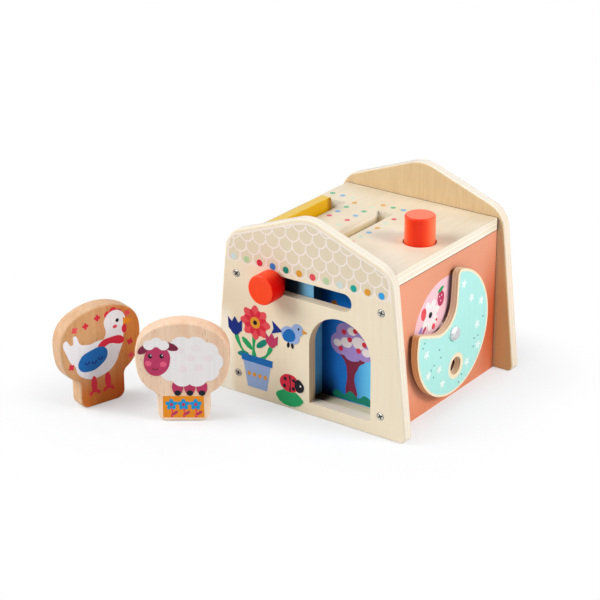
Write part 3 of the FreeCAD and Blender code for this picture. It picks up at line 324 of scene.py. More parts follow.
PALE_VENEER = tint(238, 224, 196)
DEEP_VENEER = tint(236, 220, 191)
EDGE_CREAM = tint(242, 238, 227)
# A near black for painted shadow in and by the doorway.
SHADE_BLACK = (0.06, 0.05, 0.04)
WALL_SIDE = 71 * MM
rear_ply = plywood("rear_gable", Z, Y, tint(227, 200, 157), tint(216, 186, 142), seed=5)
dress(rear_ply, "rear_gable")
across, _, height = places(rear_ply)
on_edge = cut_face(rear_ply, Y)
# The sanded edge is paler than the plies, and painted a little browner where it faces right, as painted
# shade.
print_and_light(rear_ply, EDGE_CREAM, on_edge, 0.6)
stain_and_shade(rear_ply, (0.96, 0.88, 0.82), on_edge, rise(rear_ply, towards(rear_ply, RIGHTWARDS), 0.4, 0.9))
# The strip of its face beside the wall is painted warmer towards the foot: painted bounce light from the
# wall.
beside_wall = rise(rear_ply, reckon(rear_ply, "ABSOLUTE", across), WALL_SIDE, WALL_SIDE + 2 * MM)
flange_bounce = product(rear_ply, beside_wall, rise(rear_ply, height, 112 * MM, 60 * MM), rest_of(rear_ply, on_edge))
print_and_light(rear_ply, tint(255, 218, 166), flange_bounce, 0.4)
stain_and_shade(rear_ply, (1.0, 0.92, 0.75), flange_bounce)

# The openings' edges lie inside this half width and height, the outline outside.
INNER_HALF, INNER_TOP, SILL_TOP = 62 * MM, 107 * MM, 20 * MM
front_ply = plywood("front_gable", Z, Y, PALE_VENEER, DEEP_VENEER, seed=1)
dress(front_ply, "front_gable")
across, depth, height = places(front_ply)
mid = front_sum("ABSOLUTE", across)
on_edge = cut_face(front_ply, Y)
inside = product(front_ply, front_sum("LESS_THAN", mid, INNER_HALF),
                 front_sum("LESS_THAN", height, INNER_TOP))
outer = product(front_ply, on_edge, rest_of(front_ply, inside))
# The outline's edge is sanded like the rear gable's, and painted a little darker where it faces right, as
# painted shade.
print_and_light(front_ply, EDGE_CREAM, outer, 0.6)
stain_and_shade(front_ply, (0.93, 0.90, 0.87), outer, rise(front_ply, towards(front_ply, RIGHTWARDS), 0.4, 0.9))
# The left side is painted pale below, as painted light over the sheep's shadow.
painted_light_left = product(front_ply, rise(front_ply, across, -66 * MM, -74 * MM),
                   rise(front_ply, height, 76 * MM, 56 * MM))
print_and_light(front_ply, tint(255, 251, 232), painted_light_left, 0.85)
# The doorway's jambs are painted warmer and darker, as painted shade, and show the plies as brown stripes.
jamb = product(front_ply, front_sum("GREATER_THAN", turned(front_ply, X), 0.6), inside)
stain_and_shade(front_ply, (1.0, 0.88, 0.71), jamb)
layer = front_sum("PINGPONG", ply_depth(front_ply, "front_gable", Y), 1.0)
stain_and_shade(front_ply, (0.76, 0.70, 0.62), jamb, rise(front_ply, layer, 0.5, 0.8))
# The sill is painted paler, as painted light.
level = front_sum("GREATER_THAN", turned(front_ply, Z), 0.6)
sill = product(front_ply, level, inside, front_sum("LESS_THAN", height, SILL_TOP))
print_and_light(front_ply, tint(255, 243, 224), sill, 0.6)
# The doorway's left corner is painted near black, as painted shadow.
doorway_shadow = product(front_ply, rise(front_ply, across, 11 * MM, 1 * MM),
                         rise(front_ply, depth, -78 * MM, -71 * MM), rise(front_ply, height, 24 * MM, 9 * MM))
stain_and_shade(front_ply, SHADE_BLACK, doorway_shadow, inside)

# Roof tiles on the front gable: a print of overlapping fish-scale tiles in pale
# lines on a light grey tint, inside a line that follows the gable's edge.
TILE = 12.06 * MM
TILE_RADIUS = TILE / 2
COURSE = 9.25 * MM
EAVES = 108.7 * MM
FIRST_TILE = -67.3 * MM
LINE = 0.55 * MM
BORDER = 3.3 * MM
BASE_HALF, SIDE_LEAN = 88 * MM, 0.10643
RIDGE, PITCH, RIDGE_ROUND = 158.1 * MM, 0.37112, 5.4 * MM
SHOULDER = 9 * MM
number = front_sum("FLOOR", front_sum("DIVIDE", front_sum("SUBTRACT", height, EAVES), COURSE))


def tile_line(row):
    """Distance from the outline of the tiles in one course, less than nothing inside a tile."""
    climb = front_sum("SUBTRACT", height, front_sum("MULTIPLY_ADD", row, COURSE, EAVES))
    shift = front_sum("MULTIPLY", front_sum("FLOORED_MODULO", row, 2.0), TILE_RADIUS)
    along = front_sum("SUBTRACT", front_sum("SUBTRACT", across, FIRST_TILE), shift)
    aside = front_sum("PINGPONG", along, TILE_RADIUS)
    drop = front_sum("MAXIMUM", front_sum("SUBTRACT", TILE_RADIUS, climb), 0.0)
    squares = front_sum("ADD", front_sum("MULTIPLY", aside, aside), front_sum("MULTIPLY", drop, drop))
    return front_sum("SUBTRACT", front_sum("SQRT", squares), TILE_RADIUS)


def inwards(limit, lean, along, off):
    """Distance inwards from one straight edge of the gable."""
    edge = front_sum("MULTIPLY_ADD", along, -lean, limit)
    return front_sum("MULTIPLY", 1 / sqrt(1 + lean ** 2), front_sum("SUBTRACT", edge, off))


here = tile_line(number)
above = tile_line(front_sum("ADD", number, 1.0))
nearest = front_sum("MINIMUM", front_sum("ABSOLUTE", here), front_sum("ABSOLUTE", above))
rounded = front_sum("SQRT", front_sum("MULTIPLY_ADD", mid, mid, RIDGE_ROUND ** 2))
inset = front_sum("SMOOTH_MIN", inwards(BASE_HALF, SIDE_LEAN, height, mid),
                  inwards(RIDGE, PITCH, rounded, height), SHOULDER)
front_side = front_sum("GREATER_THAN", towards(front_ply, (0, -1, 0)), 0.9)
first_course = product(front_ply, front_sum("LESS_THAN", here, LINE), front_sum("GREATER_THAN", number, -0.5))
tiled = front_sum("MAXIMUM", first_course, front_sum("GREATER_THAN", number, 0.5))
tiled = product(front_ply, tiled, front_sum("GREATER_THAN", inset, BORDER), front_side)
lines = product(front_ply, tiled, front_sum("LESS_THAN", nearest, LINE))
border = front_sum("LESS_THAN", front_sum("ABSOLUTE", front_sum("SUBTRACT", inset, BORDER)), LINE)
border = product(front_ply, border, front_sum("GREATER_THAN", height, EAVES), front_side)
print_and_light(front_ply, tint(212, 197, 168), tiled, 0.55)
print_and_light(front_ply, tint(244, 231, 226), front_sum("MAXIMUM", lines, border), 0.85)

# Prints: flat shapes of opaque ink, a few hundredths of a millimetre thick,
# drawn side by side and over each other, then laid on the board they belong to.
FILM = 0.05 * MM
LAYER = 0.006 * MM
SAME_POINT = 0.001 * MM
UPRIGHT = pi / 2
inks = {}
drawing = []


def ink(red, green, blue):
    """Printing ink of one colour, with a trace of the wood under it."""
    name = "ink_%d_%d_%d" % (red, green, blue)
    if name not in inks:
        finish = new_finish(name)
        full = tint(red, green, blue)
        thin = [part * 0.95 for part in full[:3]] + [1.0]
        grain = fibres(finish, Z, scale=420, stretch=0.05)
        feed(finish, "Base Color", ramp(finish, grain, (0.30, thin), (0.58, full)))
        feed(finish, "Specular IOR Level", 0.15)
        roughen(finish, grain, strength=0.10, low=0.40, high=0.52)
        inks[name] = finish
    return inks[name]


def shape(points, colour, corners=False, holes=()):
    """One closed shape, from points in millimetres, laid on the shapes drawn before it."""
    film = FILM + LAYER * len(drawing)
    outline = bpy.data.curves.new("shape", "CURVE")
    outline.dimensions = "2D"
    outline.fill_mode = "BOTH"
    outline.extrude = film / 2
    outline.resolution_u = 6
    for ring in (points, *holes):
        spline = outline.splines.new("BEZIER")
        spline.bezier_points.add(len(ring) - 1)
        for knot, (x, y) in zip(spline.bezier_points, ring):
            knot.co = (x * MM, y * MM, 0)
            knot.handle_left_type = knot.handle_right_type = "VECTOR" if corners else "AUTO"
        spline.use_cyclic_u = True
    outline.materials.append(colour)
    piece = bpy.data.objects.new("shape", outline)
    piece.location.z = film / 2
    bpy.context.collection.objects.link(piece)
    drawing.append(piece)


def oval(x, y, wide, high, colour, turn=0.0, knots=8):
    """A round or oval spot, turned to the left by some degrees."""
    lean = radians(turn)
    points = []
    for step in range(knots):
        angle = 2 * pi * step / knots
        a, b = wide * cos(angle), high * sin(angle)
        points.append((x + a * cos(lean) - b * sin(lean), y + a * sin(lean) + b * cos(lean)))
    shape(points, colour)


def stroke(points, width, colour):
    """A brush stroke of even width through some points."""
    left, right = [], []
    for spot, (x, y) in enumerate(points):
        ahead = Vector(points[min(spot + 1, len(points) - 1)]) - Vector(points[max(spot - 1, 0)])
        aside = ahead.normalized().orthogonal() * width / 2
        left.append((x + aside.x, y + aside.y))
        right.append((x - aside.x, y - aside.y))
    shape(left + right[::-1], colour)


def pick(*pieces):
    """Selects only these pieces; the first is the active one."""
    bpy.ops.object.select_all(action="DESELECT")
    for piece in pieces:
        piece.select_set(True)
    bpy.context.view_layer.objects.active = pieces[0]


def settle():
    """Moves the picked pieces' place, turn and scale into their meshes."""
    bpy.ops.object.transform_apply(location=True, rotation=True, scale=True)


def mend(outwards):
    """Merges the active piece's doubled points and turns its faces outwards where asked."""
    bpy.ops.object.mode_set(mode="EDIT")
    bpy.ops.mesh.select_all(action="SELECT")
    bpy.ops.mesh.remove_doubles(threshold=SAME_POINT)
    if outwards:
        bpy.ops.mesh.normals_make_consistent(inside=False)
    bpy.ops.object.mode_set(mode="OBJECT")


def lay_print(name, body, origin, turn=(0, 0, 0)):
    """Joins the drawing and lays it on its board."""
    pick(*drawing)
    bpy.ops.object.convert(target="MESH")
    bpy.ops.object.join()
    piece = bpy.context.object
    piece.name = name
    settle()
    mend(outwards=True)
    piece.location = origin
    piece.rotation_euler = turn
    settle()
    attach(piece, body)
    drawing.clear()


RED, CORAL, CRIMSON = ink(214, 42, 64), ink(226, 78, 86), ink(186, 56, 96)
NAVY, ROYAL, PERIWINKLE = ink(22, 46, 128), ink(24, 104, 178), ink(150, 174, 216)
GREEN, TEAL, LEAF, PALE_BLUE = ink(36, 160, 96), ink(22, 132, 112), ink(184, 206, 158), ink(206, 219, 215)
MUSTARD, INK_BLACK, PALE_PINK = ink(222, 152, 46), ink(26, 26, 34), ink(238, 226, 226)
LAVENDER, PLUM, WOOL = ink(166, 140, 204), ink(124, 36, 62), ink(238, 233, 231)
ORANGE, CYAN = ink(232, 142, 28), ink(18, 148, 204)

# Print on the front gable: a row of dots under the tiles, and a pot of flowers,
# a bird and a beetle on the left of the doorway.
DOT, DOT_HEIGHT = 2.65, 112.5
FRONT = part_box("front_gable")[0].y
for step, colour in enumerate((PALE_BLUE, LEAF, RED, ink(64, 124, 196), TEAL, MUSTARD, CORAL, LEAF, PALE_BLUE,
                               ink(22, 162, 148), MUSTARD, ink(56, 162, 224))):
    oval((FIRST_TILE + TILE * step) / MM, DOT_HEIGHT, DOT, DOT, colour)


def blossom(x, y, petals, reach, wide, colour, turn=0.0):
    """A flower head of oval petals round a middle."""
    for step in range(petals):
        angle = radians(turn) + 2 * pi * step / petals
        middle = (x + reach * cos(angle), y + reach * sin(angle))
        oval(*middle, reach * 0.95, wide, colour, turn + 360 * step / petals)


# Pot of flowers.
stroke([(-49, 32), (-50, 42), (-48, 58)], 2.0, GREEN)
stroke([(-53, 32), (-61, 38), (-67, 50)], 1.8, GREEN)
stroke([(-45, 32), (-38, 38), (-33, 47)], 1.8, GREEN)
oval(-56, 44, 6.2, 2.4, GREEN, turn=140)
oval(-42, 47, 6.4, 2.4, TEAL, turn=38)
oval(-60, 34.5, 5.4, 2.1, TEAL, turn=12)
shape([(-60, 30), (-34, 30), (-38, 8.5), (-56, 8.5)], PERIWINKLE, corners=True)
shape([(-62, 35), (-32, 35), (-32.6, 29.4), (-61.4, 29.4)], ROYAL, corners=True)
for step in range(4):
    oval(-54.6 + 5.1 * step, 19.5, 1.7, 1.7, MUSTARD)
blossom(-48, 63, 8, 7.2, 3.6, CORAL)
blossom(-48, 63, 8, 5.6, 2.0, RED, 22.5)
oval(-48, 63, 4.6, 4.6, MUSTARD)
oval(-48, 63, 1.9, 1.9, INK_BLACK)
shape([(-67, 48), (-73.5, 53), (-74, 62), (-70.4, 58.6), (-67.4, 63.4), (-64.2, 58.8), (-60.4, 62.2),
       (-61, 53)], NAVY, corners=True)
oval(-67.2, 52.6, 4.4, 4.0, NAVY)
shape([(-32.6, 46), (-38, 50), (-38.4, 57), (-35.4, 54.4), (-32.8, 58.4), (-30, 54.6), (-27, 57.2),
       (-27.4, 50)], CRIMSON, corners=True)
oval(-32.8, 49.8, 3.7, 3.4, CRIMSON)
# Bird.
oval(-15.5, 61, 8.6, 6.6, PERIWINKLE, turn=-14)
oval(-8.6, 66.8, 5.2, 4.9, PERIWINKLE)
shape([(-22.5, 62), (-32, 68.6), (-30.8, 62.6), (-33, 58)], NAVY, corners=True)
shape([(-21, 62.5), (-14, 66), (-10.6, 60), (-16, 55.6), (-22, 57)], ROYAL)
shape([(-4.2, 68.6), (0.4, 66.2), (-4.2, 64.8)], MUSTARD, corners=True)
oval(-7.6, 68.0, 0.95, 0.95, INK_BLACK)
stroke([(-17, 55), (-17.6, 50.6)], 0.8, INK_BLACK)
stroke([(-13.6, 55), (-13.4, 50.8)], 0.8, INK_BLACK)
# Beetle on a leaf.
shape([(-29, 8.4), (-24, 14), (-14, 15.4), (-6.4, 12), (-4, 8.4)], GREEN)
oval(-16.4, 21.4, 9.0, 7.2, RED)
shape([(-9.6, 26), (-4.6, 24), (-3.2, 20), (-5.6, 16.4), (-9.8, 16.6)], INK_BLACK)
stroke([(-16.2, 28.4), (-15.6, 21), (-16.2, 14.4)], 0.7, INK_BLACK)
for x, y in ((-20.4, 24.4), (-21, 18.4), (-12.4, 24.6), (-12.8, 17.8)):
    oval(x, y, 1.5, 1.5, INK_BLACK)
oval(-6.2, 21.6, 0.8, 0.8, PALE_PINK)
lay_print("front_print", "house", (0, FRONT, 0), (UPRIGHT, 0, 0))

# Side walls, floor, partition, squeaker shelf and the brackets of the rocker:
# plywood boards.  The walls' outer faces have a satin terracotta paint.
SHADOW_VENEER = tint(214, 186, 140)


def painted(name, colour, shade=0.90, low=0.36, high=0.48, relief=0.10):
    """Satin paint on sanded wood, the grain faintly through it."""
    finish = new_finish(name)
    lines = fibres(finish, Z, scale=380, stretch=0.05)
    cloud = fibres(finish, Z, scale=22, stretch=0.6, detail=2.0)
    under = [part * shade for part in colour[:3]] + [1.0]
    over = [min(part * (2 - shade), 1.0) for part in colour[:3]] + [1.0]
    mixed = ramp(finish, cloud, (0.30, under), (0.50, colour), (0.70, over))
    grain = ramp(finish, lines, (0.28, (0.30, 0.30, 0.30, 1)), (0.50, NO_MARK))
    feed(finish, "Base Color", blend(finish, grain, mixed, under))
    feed(finish, "Specular IOR Level", 0.2)
    roughen(finish, lines, relief, low, high)
    return finish


JOINT = 0.45 * MM
JOINT_BROWN = tint(64, 36, 22)
WALL, WALL_BACK, WALL_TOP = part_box("right_wall")[1]
terracotta = painted("terracotta_paint", tint(227, 152, 119), shade=0.96)
dress(terracotta, "left_wall", "right_wall")
_, depth, height = places(terracotta)
# The paint is painted deeper towards the rear gable and the floor, as painted shade, with dark joint lines.
stain_and_shade(terracotta, (0.78, 0.36, 0.20), rise(terracotta, depth, 40 * MM, 66 * MM),
      rise(terracotta, height, 116 * MM, 48 * MM), rise(terracotta, height, -20 * MM, 34 * MM))
stain_and_shade(terracotta, (0.94, 0.80, 0.70), rise(terracotta, height, 36 * MM, 2 * MM))
under_roof = reckon(terracotta, "GREATER_THAN", height, WALL_TOP - JOINT)
at_gable = reckon(terracotta, "GREATER_THAN", depth, WALL_BACK - JOINT)
print_and_light(terracotta, JOINT_BROWN, reckon(terracotta, "MAXIMUM", under_roof, at_gable), 0.85)

boards = {}
for node, grain, through in (("floor_board", X, Z), ("inner_partition", Z, X), ("button_shelf", Y, Z),
                             ("front_rocker_bracket", Z, Y), ("rear_rocker_bracket", Z, Y)):
    boards[node] = plywood(node, grain, through, PALE_VENEER, SHADOW_VENEER, seed=len(node))
    dress(boards[node], node)
floor = boards["floor_board"]
across, depth, _ = places(floor)
# A patch inside the doorway's left corner is painted near black, as painted shadow.
stain_and_shade(floor, SHADE_BLACK, rise(floor, across, 15 * MM, 6 * MM), rise(floor, depth, -50 * MM, -56 * MM),
      reckon(floor, "GREATER_THAN", across, -4 * MM))

# Picture round on the right wall, behind the turning disc: flowers, fruit and
# a butterfly, one in each quarter, on pink.
ROUND = 42
PINK, BLUSH = ink(244, 196, 204), ink(248, 222, 226)
oval(-3, 59.5, ROUND, ROUND, PINK, knots=16)
# White flower on a stem, and a bud.
blossom(-22, 78, 7, 6.4, 3.3, WOOL, 12)
blossom(-22, 78, 7, 3.6, 1.7, BLUSH, 12)
oval(-22, 78, 2.4, 2.4, INK_BLACK)
stroke([(-28, 70.5), (-32.5, 66), (-36, 60.5)], 1.4, CRIMSON)
oval(-35.4, 68.4, 4.6, 1.9, LAVENDER, turn=60)
oval(-29.2, 62.4, 4.4, 1.8, NAVY, turn=-30)
shape([(-30.6, 86.4), (-34.6, 81.6), (-31.4, 76.6), (-27.8, 80.8)], CORAL)
# Dotted fruit and two berries.
shape([(-8.4, 93), (-12.6, 87.8), (-8.2, 80.6), (-3.6, 87.6)], CRIMSON)
oval(-8.2, 94, 4.2, 1.5, GREEN, turn=20)
for x, y in ((-10, 88.6), (-7, 89), (-8.4, 85)):
    oval(x, y, 0.6, 0.6, BLUSH)
oval(-17.5, 67.4, 2.2, 2.2, CORAL)
oval(-13.6, 71.6, 1.2, 1.2, RED)
# Butterfly.
for side in (-1, 1):
    oval(20 + 5 * side, 84, 6.6, 4.2, NAVY, turn=45 * side)
    oval(20 + 4 * side, 77, 4.8, 3.2, LAVENDER, turn=-35 * side)
    oval(20 + 5 * side, 84, 2.4, 1.6, PALE_BLUE, turn=45 * side)
oval(20, 80.5, 1.3, 6.4, INK_BLACK)
# Strawberry, and a mauve flower.
shape([(14, 36), (22, 38), (27, 32), (20, 22), (12, 27)], RED)
oval(20, 38.6, 6.0, 2.2, GREEN, turn=-10)
for x, y in ((17, 32), (21, 34), (20, 28), (24, 31), (16, 28)):
    oval(x, y, 0.7, 1.0, MUSTARD)
blossom(-26, 38, 5, 5.6, 4.0, LAVENDER, 90)
oval(-26, 38, 2.6, 2.6, MUSTARD)
lay_print("wall_print", "house", (WALL, 0, 0), (UPRIGHT, 0, UPRIGHT))

# Roof board: plywood with the grain along the house, laid on the walls between
# the gables.  It has two slots, a hole, and rows of printed dots by the slots.
ROOF_RIGHT, ROOF_BACK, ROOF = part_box("roof_board")[1]
ROOF_DOT, ROOF_STEP, REAR_ROW = 2.1, 11.3, 43.2
PAINTED_LIGHT_SPOT = (20 * MM, -8 * MM, ROOF)
roof_ply = plywood("roof_board", Y, Z, tint(230, 217, 193), tint(225, 209, 181), seed=9)
dress(roof_ply, "roof_board")
across, depth, height = places(roof_ply)
on_edge = cut_face(roof_ply, Z)
# The board's two long edges are sanded; the slots' walls are painted paler, as painted light.
outer = reckon(roof_ply, "GREATER_THAN", reckon(roof_ply, "ABSOLUTE", across), ROOF_RIGHT - 2 * MM)
print_and_light(roof_ply, EDGE_CREAM, on_edge, outer, 0.45)
slot_wall = product(roof_ply, on_edge, rest_of(roof_ply, outer))
print_and_light(roof_ply, EDGE_CREAM, slot_wall, 0.65)
# Deep down the slots' walls are painted warmer and darker, as painted shade.
stain_and_shade(roof_ply, (0.98, 0.88, 0.66), slot_wall, rise(roof_ply, height, ROOF - 3 * MM, ROOF - 9 * MM))
# Painted shade darkens the veneer in the rear right corner; painted light makes it paler by the button and in
# front.
stain_and_shade(roof_ply, (0.90, 0.85, 0.78), rise(roof_ply, across, 25 * MM, 60 * MM),
      rise(roof_ply, depth, 45 * MM, 70 * MM))
reach = reckon_points(roof_ply, "DISTANCE", point(roof_ply), PAINTED_LIGHT_SPOT)
print_and_light(roof_ply, tint(255, 245, 226), rise(roof_ply, reach, 28 * MM, 6 * MM), 0.5)
print_and_light(roof_ply, tint(250, 242, 226), rise(roof_ply, across, 26 * MM, 42 * MM),
           rise(roof_ply, depth, -18 * MM, -36 * MM), rest_of(roof_ply, on_edge), 0.35)
# A dark joint line lies against the rear gable, wider on the board's two edges.
gap = reckon(roof_ply, "MULTIPLY_ADD", product(roof_ply, on_edge, outer), 1.3 * MM, 0.7 * MM)
joint = reckon(roof_ply, "GREATER_THAN", reckon(roof_ply, "ADD", depth, gap), ROOF_BACK)
print_and_light(roof_ply, JOINT_BROWN, joint, 0.92)
PALE_GREEN, FADED_GREEN, FADED_BLUE = ink(208, 224, 200), ink(112, 190, 146), ink(132, 184, 220)
FADED_RED, FADED_MUSTARD = ink(220, 98, 116), ink(224, 172, 92)
for x, first, colours in (
        (7.2, 22.8, (FADED_RED, PALE_GREEN, FADED_MUSTARD, FADED_BLUE, PALE_GREEN, FADED_RED)),
        (-21.0, 34.8, (PALE_GREEN, FADED_GREEN, FADED_BLUE, FADED_RED, PALE_GREEN, FADED_MUSTARD)),
        (-37.7, 35.0, (FADED_MUSTARD, FADED_GREEN, FADED_BLUE, FADED_RED, PALE_GREEN, FADED_GREEN))):
    for step, colour in enumerate(colours):
        oval(x, first - ROOF_STEP * step, ROOF_DOT, ROOF_DOT, colour)
for x, colour in ((-16.4, FADED_MUSTARD), (-7.0, FADED_GREEN), (2.4, FADED_BLUE), (-64.3, FADED_GREEN),
                  (-54.6, FADED_BLUE), (-45.0, PALE_GREEN)):
    oval(x, REAR_ROW, ROOF_DOT, ROOF_DOT, colour)
lay_print("roof_print", "house", (0, 0, ROOF))

# Screws: zinc-plated countersunk screws with a cross recess, flush with the
# gables, and those that hold the rocker's brackets and the button's bar.
RECESS_REACH = 4.4 * MM
RECESS_WIDTH = 0.95 * MM
RECESS_DEPTH = 1.3 * MM
HEAD_RADIUS, HEAD_GAP = 2.98 * MM, 0.26 * MM
SCREW_SIDE, SCREW_LOW, SCREW_HIGH = 65.2 * MM, 17 * MM, 99 * MM
SEATS = [(x, z) for z in (SCREW_LOW, SCREW_HIGH) for x in (-SCREW_SIDE, SCREW_SIDE)]


def mottled(name, dark, light, scale, relief, low, high, stretch=1.0):
    """A plain material with a fine mottle of two near colours."""
    finish = new_finish(name)
    mottle = fibres(finish, X, scale, stretch)
    feed(finish, "Base Color", ramp(finish, mottle, (0.3, dark), (0.7, light)))
    roughen(finish, mottle, relief, low, high)
    return finish


def steel(name, colour, low, high, metallic=1.0):
    """Zinc-plated or polished steel with fine tool marks."""
    worn = tint(*[part - 40 for part in colour])
    finish = mottled(name, worn, tint(*colour), scale=2600, relief=0.15, low=low, high=high, stretch=0.1)
    feed(finish, "Metallic", metallic)
    return finish


def cross_cutter(x, face, z, turn):
    """Two crossed bars and a thin ring, which cut the recess and the line round the head."""
    cutters = []
    for quarter in (0, 90):
        bpy.ops.object.select_all(action="DESELECT")
        bpy.ops.mesh.primitive_cube_add(size=1.0, location=(x, face, z))
        bar = bpy.context.object
        bar.rotation_euler.y = radians(turn + quarter)
        bar.scale = (RECESS_REACH, 2 * RECESS_DEPTH, RECESS_WIDTH)
        settle()
        cutters.append(bar)
    bpy.ops.mesh.primitive_torus_add(major_radius=HEAD_RADIUS, minor_radius=HEAD_GAP, major_segments=40,
                                     minor_segments=10, location=(x, face, z), rotation=(UPRIGHT, 0, 0))
    settle()
    cutters.append(bpy.context.object)
    for cutter in cutters:
        cutter.data.materials.append(recess_black)
    return cutters


zinc = steel("zinc_plate", (226, 222, 212), low=0.30, high=0.50)
# The recesses and the lines round the heads get a near-black finish: painted shadow in the hollows.
recess_black = mottled("recess_shadow", tint(12, 12, 12), tint(34, 32, 30), scale=3000, relief=0.0,
                       low=0.7, high=0.7)
dress(zinc, "bracket_screws", "button_screw", "door_knob_screw", "pivot_nut", "pivot_washer")
for node, face, turns in (("front_screws", FRONT, (20, 65, 40, 10)),
                          ("rear_screws", -FRONT, (5, 30, 75, 50))):
    cutters = []
    for turn, (x, z) in zip(turns, SEATS):
        cutters += cross_cutter(x, face, z, turn)
    pick(*cutters)
    bpy.ops.object.join()
    cross = bpy.context.object
    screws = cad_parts[node].copy()
    screws.data = screws.data.copy()
    screws.name = node + "_crossed"
    screws.parent = None
    # The copy doesn't keep the marks of the frame's own piece.
    for key in list(screws.keys()):
        del screws[key]
    bpy.context.collection.objects.link(screws)
    pick(screws)
    mend(outwards=False)
    screws.data.materials.clear()
    screws.data.materials.append(zinc)
    screws.data.materials.append(recess_black)
    cut = screws.modifiers.new("cross_recess", "BOOLEAN")
    cut.operation = "DIFFERENCE"
    cut.solver = "EXACT"
    cut.use_self = True
    cut.object = cross
    bpy.ops.object.modifier_apply(modifier=cut.name)
    bpy.data.objects.remove(cross)
    bpy.ops.object.shade_smooth_by_angle(angle=radians(30))
    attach(screws, "house")
    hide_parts(node)

# Sliding door with its knob: the board has light blue paint, the turned knob and
# the button on the roof a glossy red-orange one.
KNOB_MIDDLE = sum(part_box("door_knob"), Vector()) / 2
light_blue = painted("light_blue_paint", tint(124, 198, 240))
dress(light_blue, "sliding_door")
_, _, height = places(light_blue)
on_edge = cut_face(light_blue, Y)
# The door's edge is painted dark, as painted shade, most of all above and below.
stain_and_shade(light_blue, (0.42, 0.62, 0.70), on_edge)
stain_and_shade(light_blue, (0.10, 0.14, 0.18), on_edge, rise(light_blue, height, 78 * MM, 88 * MM))
stain_and_shade(light_blue, (0.30, 0.20, 0.16), on_edge, rise(light_blue, height, 34 * MM, 8 * MM))
# The face behind the knob is painted near black, as the knob's painted shadow.
reach = reckon_points(light_blue, "DISTANCE", point(light_blue), KNOB_MIDDLE)
stain_and_shade(light_blue, (0.02, 0.02, 0.03), rise(light_blue, reach, 28 * MM, 18 * MM))

BUTTON_HIGHLIGHT, BUTTON_SHEEN = tint(255, 116, 70), tint(250, 136, 92)
LEE_WAY = (0.807, 0.591, 0.0)
KNOB_BACK = -70 * MM
red_orange = painted("red_orange_paint", tint(250, 64, 8), shade=0.95, low=0.32, high=0.40, relief=0.05)
dress(red_orange, "door_knob", "roof_button")
_, depth, height = places(red_orange)
# The button: a painted darker band between painted highlights on its flanks, and a painted sheen on its
# crown.
button = reckon(red_orange, "GREATER_THAN", height, ROOF)
side = towards(red_orange, LEE_WAY)
stain_and_shade(red_orange, (0.94, 0.42, 0.6), button, rise(red_orange, side, 0.3, 0.0),
      rise(red_orange, side, -0.8, -0.4), 0.8)
glow = reckon(red_orange, "MAXIMUM", rise(red_orange, side, 0.25, 0.85), rise(red_orange, side, -0.72, -1.04))
print_and_light(red_orange, BUTTON_HIGHLIGHT, button, glow, 0.9)
print_and_light(red_orange, BUTTON_SHEEN, button, rise(red_orange, turned(red_orange, Z), 0.9, 0.99), 0.62)
# The knob: its right side, away from the left lamp, is painted a deeper, duller red, as painted shade.
knob = reckon(red_orange, "LESS_THAN", depth, KNOB_BACK)
lee = product(red_orange, rise(red_orange, towards(red_orange, RIGHTWARDS), 0.2, 0.8), knob)
stain_and_shade(red_orange, (0.80, 0.05, 0.40), lee)
stain_and_shade(red_orange, (0.60, 0.4, 0.6), lee, rise(red_orange, depth, -91 * MM, -82 * MM))
feed(red_orange, "Specular IOR Level", reckon(red_orange, "MULTIPLY_ADD", lee, -0.24, 0.3))

# Picture board behind the door: thin board painted blue, with a tree in
# blossom that shows in the doorway.
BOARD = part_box("backdrop_panel")[0].y
blue_board = painted("picture_blue", tint(4, 108, 196), shade=0.92)
dress(blue_board, "backdrop_panel")
across, _, height = places(blue_board)
# The blue is painted light on the right, as painted light, and dark on the left, most of all low down, as
# painted shadow.
print_and_light(blue_board, tint(98, 196, 242), rise(blue_board, across, 23 * MM, 44 * MM))
stain_and_shade(blue_board, (0.30, 0.34, 0.40), rise(blue_board, across, 14 * MM, 1 * MM))
stain_and_shade(blue_board, (0.04, 0.03, 0.03), rise(blue_board, across, 18 * MM, 7 * MM),
      rise(blue_board, height, 34 * MM, 10 * MM))
# Trunk, crown, pale and red blossoms, grass, and a small flower high up.
stroke([(27, 13), (26, 30), (28, 48)], 6.4, PLUM)
stroke([(27, 36), (21, 44), (17, 50)], 2.6, PLUM)
stroke([(28, 36), (33, 43), (38, 48)], 2.6, PLUM)
for x, y, reach in ((17, 56, 9), (27, 64, 11), (38, 56, 9.5), (27, 53, 9), (20, 66, 7), (36, 66, 7.5)):
    oval(x, y, reach, reach, LAVENDER)
for x, y, reach in ((22, 58, 5), (33, 60, 6), (27, 68, 4), (14, 56, 3.6), (40, 54, 4)):
    oval(x, y, reach, reach * 0.8, PALE_PINK)
for x, y in ((17, 52), (25, 61), (33, 54), (38, 60), (30, 69), (20, 66)):
    oval(x, y, 2.1, 2.1, RED)
shape([(10, 12.5), (14, 17.5), (20, 15), (26, 19), (33, 15), (39, 18.4), (45, 12.5), (37, 11.4), (28, 11.4),
       (18, 11.4)], TEAL)
blossom(11.3, 86.3, 5, 1.8, 1.2, ink(150, 92, 24))
lay_print("picture_print", "house", (0, BOARD, 0), (UPRIGHT, 0, 0))

# Rising boards: solid wood painted yellow.  Dowels, spacers and the rocker
# between them are bare beech.


